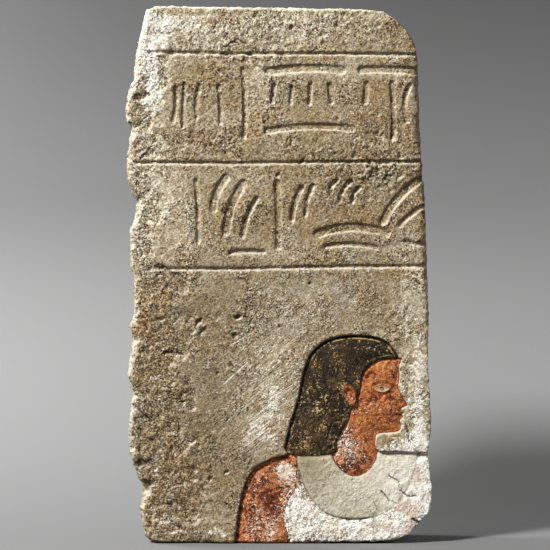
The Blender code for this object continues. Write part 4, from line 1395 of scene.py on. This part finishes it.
def stoneMaterial(name, groups, painted):
    material = bpy.data.materials.new(name)
    material.use_nodes = True
    tree = material.node_tree
    shader = tree.nodes["Principled BSDF"]
    white, broken = mark(tree, "whiteArea"), mark(tree, "broken")
    dent, cut = mark(tree, "dent"), mark(tree, "cutEdge")
    collar = spread(tree, mark(tree, "collarEdge"), 0.0, 0.001)
    surface = placed(tree, groups["surface"], {
        "Roughness": most(tree, mark(tree, "roughArea"), broken),
        "Porous": mark(tree, "porousArea"),
        "Tooled": mark(tree, "tooled"),
        "Lumpy": most(tree, white, times(tree, collar, 0.55)),
    })
    # The cuts and dents are darkened: painted shade, with some dirt.
    hollows = spread(tree, mark(tree, "relief"), -0.0034, -0.0012, 1.0, 0.0)
    dents = timesPlus(tree, surface["Grain"], 1.6, minus(tree, dent, 1.02))
    hollows = most(tree, hollows, spread(tree, dents, 0.0, 0.35))
    byCuts = spread(tree, cut, -0.0016, -0.0006, 0.3, 0.0)
    colour = placed(tree, groups["colour"], {
        "Pale": mark(tree, "paleArea"),
        "Ochre": most(tree, mark(tree, "ochreArea"), byCuts),
        "Dusky": mark(tree, "duskyArea"),
        "White": white,
        "Grain": surface["Grain"],
        "Fine": surface["Fine"],
        "Busy": surface["Busy"],
        "Recess": most(tree, surface["Recess"], hollows),
    })["Colour"]
    wall = spread(tree, cut, -0.0007, 0.0002, -stone["wallStep"], 0.0)
    height = plus(tree, surface["Height"], wall)
    height = timesPlus(tree, dent, -stone["dentDepth"], height)
    # Painted highlight with some dust where surfaces face up and left, painted shade with some dirt where
    # they face down and right.
    ledge = placed(tree, groups["paintedLightAndDust"], {})
    paintedLightAndDust = times(tree, ledge["HighlightAndDust"], timesPlus(tree, broken, -0.42, 0.60))
    colour = mixed(tree, paintedLightAndDust, colour, stone["paleHighlightAndDust"])
    paintedShadeAndGrime = times(tree, ledge["ShadeAndGrime"], timesPlus(tree, white, -0.40, 0.55))
    colour = mixed(tree, paintedShadeAndGrime, colour, stone["dirtAndShade"])
    if painted:
        scored = drawnLines(tree, groups["scratch"], damage["scratches"], 0.0)
        cracked = drawnLines(tree, groups["scratch"], damage["splits"], stone["crackWaver"])
        colour = mixed(tree, times(tree, scored, 0.75), colour, stone["white"])
        both = timesPlus(tree, cracked, 1.8, scored)
        height = timesPlus(tree, both, -stone["scratchDepth"], height)
        colour = paintedFigure(tree, colour, groups["paint"])
        colour = mixed(tree, times(tree, cracked, 0.85), colour, stone["dirtAndShade"])
        colour = grainyPaint(tree, colour, surface, collar)
        colour = drawnEye(tree, colour)
    tree.links.new(colour, shader.inputs["Base Color"])
    roughness = spread(tree, surface["Grain"], 0.3, 0.7, 0.98, 0.84)
    tree.links.new(roughness, shader.inputs["Roughness"])
    shader.inputs["Specular IOR Level"].default_value = 0.25
    bump = addNode(tree, "ShaderNodeBump", {"Height": height, "Strength": 1.0, "Distance": 1.0})
    tree.links.new(bump.outputs[0], shader.inputs["Normal"])
    return material


groups = {
    "surface": stoneSurfaceGroup(),
    "colour": stoneColourGroup(),
    "paint": wornPaintGroup(),
    "paintedLightAndDust": ledgeLightAndDustGroup(),
    "scratch": scratchGroup(),
}
carvedStone = stoneMaterial("carvedLimestone", groups, painted=True)
brokenStone = stoneMaterial("brokenLimestone", groups, painted=False)

shaped = shapedSlab()
print("stage: carved,", len(shaped.vertices), "points")
limestoneSlab = weatheredSlab(shaped, carvedStone)
markFinish(limestoneSlab)


def dressSides(thing):  # the broken sides and the back take the plainer stone
    mesh = thing.data
    mesh.materials.clear()
    mesh.materials.append(carvedStone)
    mesh.materials.append(brokenStone)
    behind = readPoints(mesh.polygons, "center")[:, 1] > slabFront + slab["faceEnds"][1]
    mesh.polygons.foreach_set("material_index", behind.astype(np.int32))
    mesh.polygons.foreach_set("use_smooth", np.ones(len(mesh.polygons), bool))
    mesh.update()


dressSides(limestoneSlab)
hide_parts("relief_panel")
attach(limestoneSlab, "root")
print("stage: slab finished")

# The studio: a grey sweep, a raking key light from the upper left, a weak fill and dim surroundings.
# A glow behind the slab and a low bounce at its right brighten the sweep as in the photograph.
studio = {
    "sweepWidth": 5.0,
    "sweepFront": -3.4,
    "sweepBack": 0.57,
    "sweepRadius": 0.40,
    "sweepHeight": 2.4,
    "sweepSteps": 16,
    "sweepDrop": 0.0004,
    "sweepColours": (  # height and grey, darker towards the top: painted shade
        (0.00, 0.165), (0.06, 0.185), (0.16, 0.205), (0.30, 0.205), (0.50, 0.134), (0.70, 0.060),
    ),
    "lights": {  # the way it stands, its distance, size and power, and what it looks at
        "key": ((-1.0, -0.90, 1.30), 5.0, 0.95, 450.0, (0.0, slabFront, slab["height"] / 2)),
        "fill": ((0.7, -1.6, 0.2), 2.4, 1.6, 0.7, (0.0, slabFront, slab["height"] / 2)),
        "glow": ((-0.85, -0.10, 0.87), 1.25, 0.40, 12.0, (0.06, 0.40, 0.10)),
        "bounce": ((0.75, -0.45, 0.55), 1.0, 0.5, 3.2, (0.42, 0.36, 0.06)),
    },
    "surroundings": 0.036,
}


def sweepPaper():
    material = bpy.data.materials.new("sweepPaper")
    material.use_nodes = True
    tree = material.node_tree
    shader = tree.nodes["Principled BSDF"]
    height = addNode(tree, "ShaderNodeSeparateXYZ", {0: objectPlace(tree)})
    # The grey changes with height, darker towards the top: painted shade.
    ramp = addNode(tree, "ShaderNodeValToRGB", {0: height.outputs[2]})
    ramp.color_ramp.interpolation = "B_SPLINE"
    for place, _ in studio["sweepColours"][1:-1]:
        ramp.color_ramp.elements.new(place)
    for element, (place, grey) in zip(ramp.color_ramp.elements, studio["sweepColours"]):
        element.position = place
        element.color = (grey, grey, grey, 1.0)
    tree.links.new(ramp.outputs[0], shader.inputs["Base Color"])
    shader.inputs["Roughness"].default_value = 0.9
    # Seen from behind the sweep is clear, so that the slab's back can be looked at.
    clear = addNode(tree, "ShaderNodeBsdfTransparent").outputs[0]
    behind = addNode(tree, "ShaderNodeNewGeometry").outputs["Backfacing"]
    both = addNode(tree, "ShaderNodeMixShader", {0: behind, 1: shader.outputs[0], 2: clear})
    tree.links.new(both.outputs[0], tree.nodes["Material Output"].inputs["Surface"])
    return material


def sweepBackdrop():
    curve = [(studio["sweepFront"], 0.0), (studio["sweepBack"] - studio["sweepRadius"], 0.0)]
    for step in range(1, studio["sweepSteps"] + 1):
        angle = math.pi / 2 * step / studio["sweepSteps"]
        curve.append((
            studio["sweepBack"] - studio["sweepRadius"] * (1 - math.sin(angle)),
            studio["sweepRadius"] * (1 - math.cos(angle)),
        ))
    curve.append((studio["sweepBack"], studio["sweepHeight"]))
    sheet = bmesh.new()
    half = studio["sweepWidth"] / 2
    drop = studio["sweepDrop"]  # just under the slab
    rows = [[sheet.verts.new((side, y, z - drop)) for side in (-half, half)] for y, z in curve]
    for low, high in zip(rows, rows[1:]):
        sheet.faces.new((low[0], low[1], high[1], high[0]))
    mesh = bpy.data.meshes.new("sweep")
    sheet.to_mesh(mesh)
    sheet.free()
    mesh.polygons.foreach_set("use_smooth", np.ones(len(mesh.polygons), bool))
    mesh.materials.append(sweepPaper())
    sweep = bpy.data.objects.new("sweep", mesh)
    bpy.context.scene.collection.objects.link(sweep)


def areaLight(name, way, distance, size, power, target):
    light = bpy.data.lights.new(name, "AREA")
    light.shape = "DISK"
    light.size = size
    light.energy = power
    lamp = bpy.data.objects.new(name, light)
    bpy.context.scene.collection.objects.link(lamp)
    lamp.location = Vector(target) + Vector(way).normalized() * distance
    lamp.rotation_euler = (Vector(target) - lamp.location).to_track_quat("-Z", "Y").to_euler()


def studioLight():
    for name, values in studio["lights"].items():
        areaLight(name, *values)
    world = bpy.data.worlds.new("studio")
    world.use_nodes = True
    world.node_tree.nodes["Background"].inputs["Color"].default_value = (0.5, 0.5, 0.5, 1.0)
    world.node_tree.nodes["Background"].inputs["Strength"].default_value = studio["surroundings"]
    bpy.context.scene.world = world


# The camera stands square in front of the slab, a little left of its middle.
camera = {
    "aside": -0.00385,
    "height": 0.29535,
    "viewWidth": 0.605,
    "distance": 2.2,
    "sensor": 36.0,
}


def makeCamera():
    lens = bpy.data.cameras.new("camera")
    lens.sensor_width = camera["sensor"]
    lens.lens = camera["sensor"] * camera["distance"] / camera["viewWidth"]
    stand = bpy.data.objects.new("camera", lens)
    bpy.context.scene.collection.objects.link(stand)
    stand.location = (camera["aside"], slabFront - camera["distance"], camera["height"])
    stand.rotation_euler = (math.radians(90), 0, 0)
    bpy.context.scene.camera = stand


sweepBackdrop()
studioLight()
makeCamera()
bpy.context.scene.view_settings.view_transform = "Standard"
print("stage: studio set")
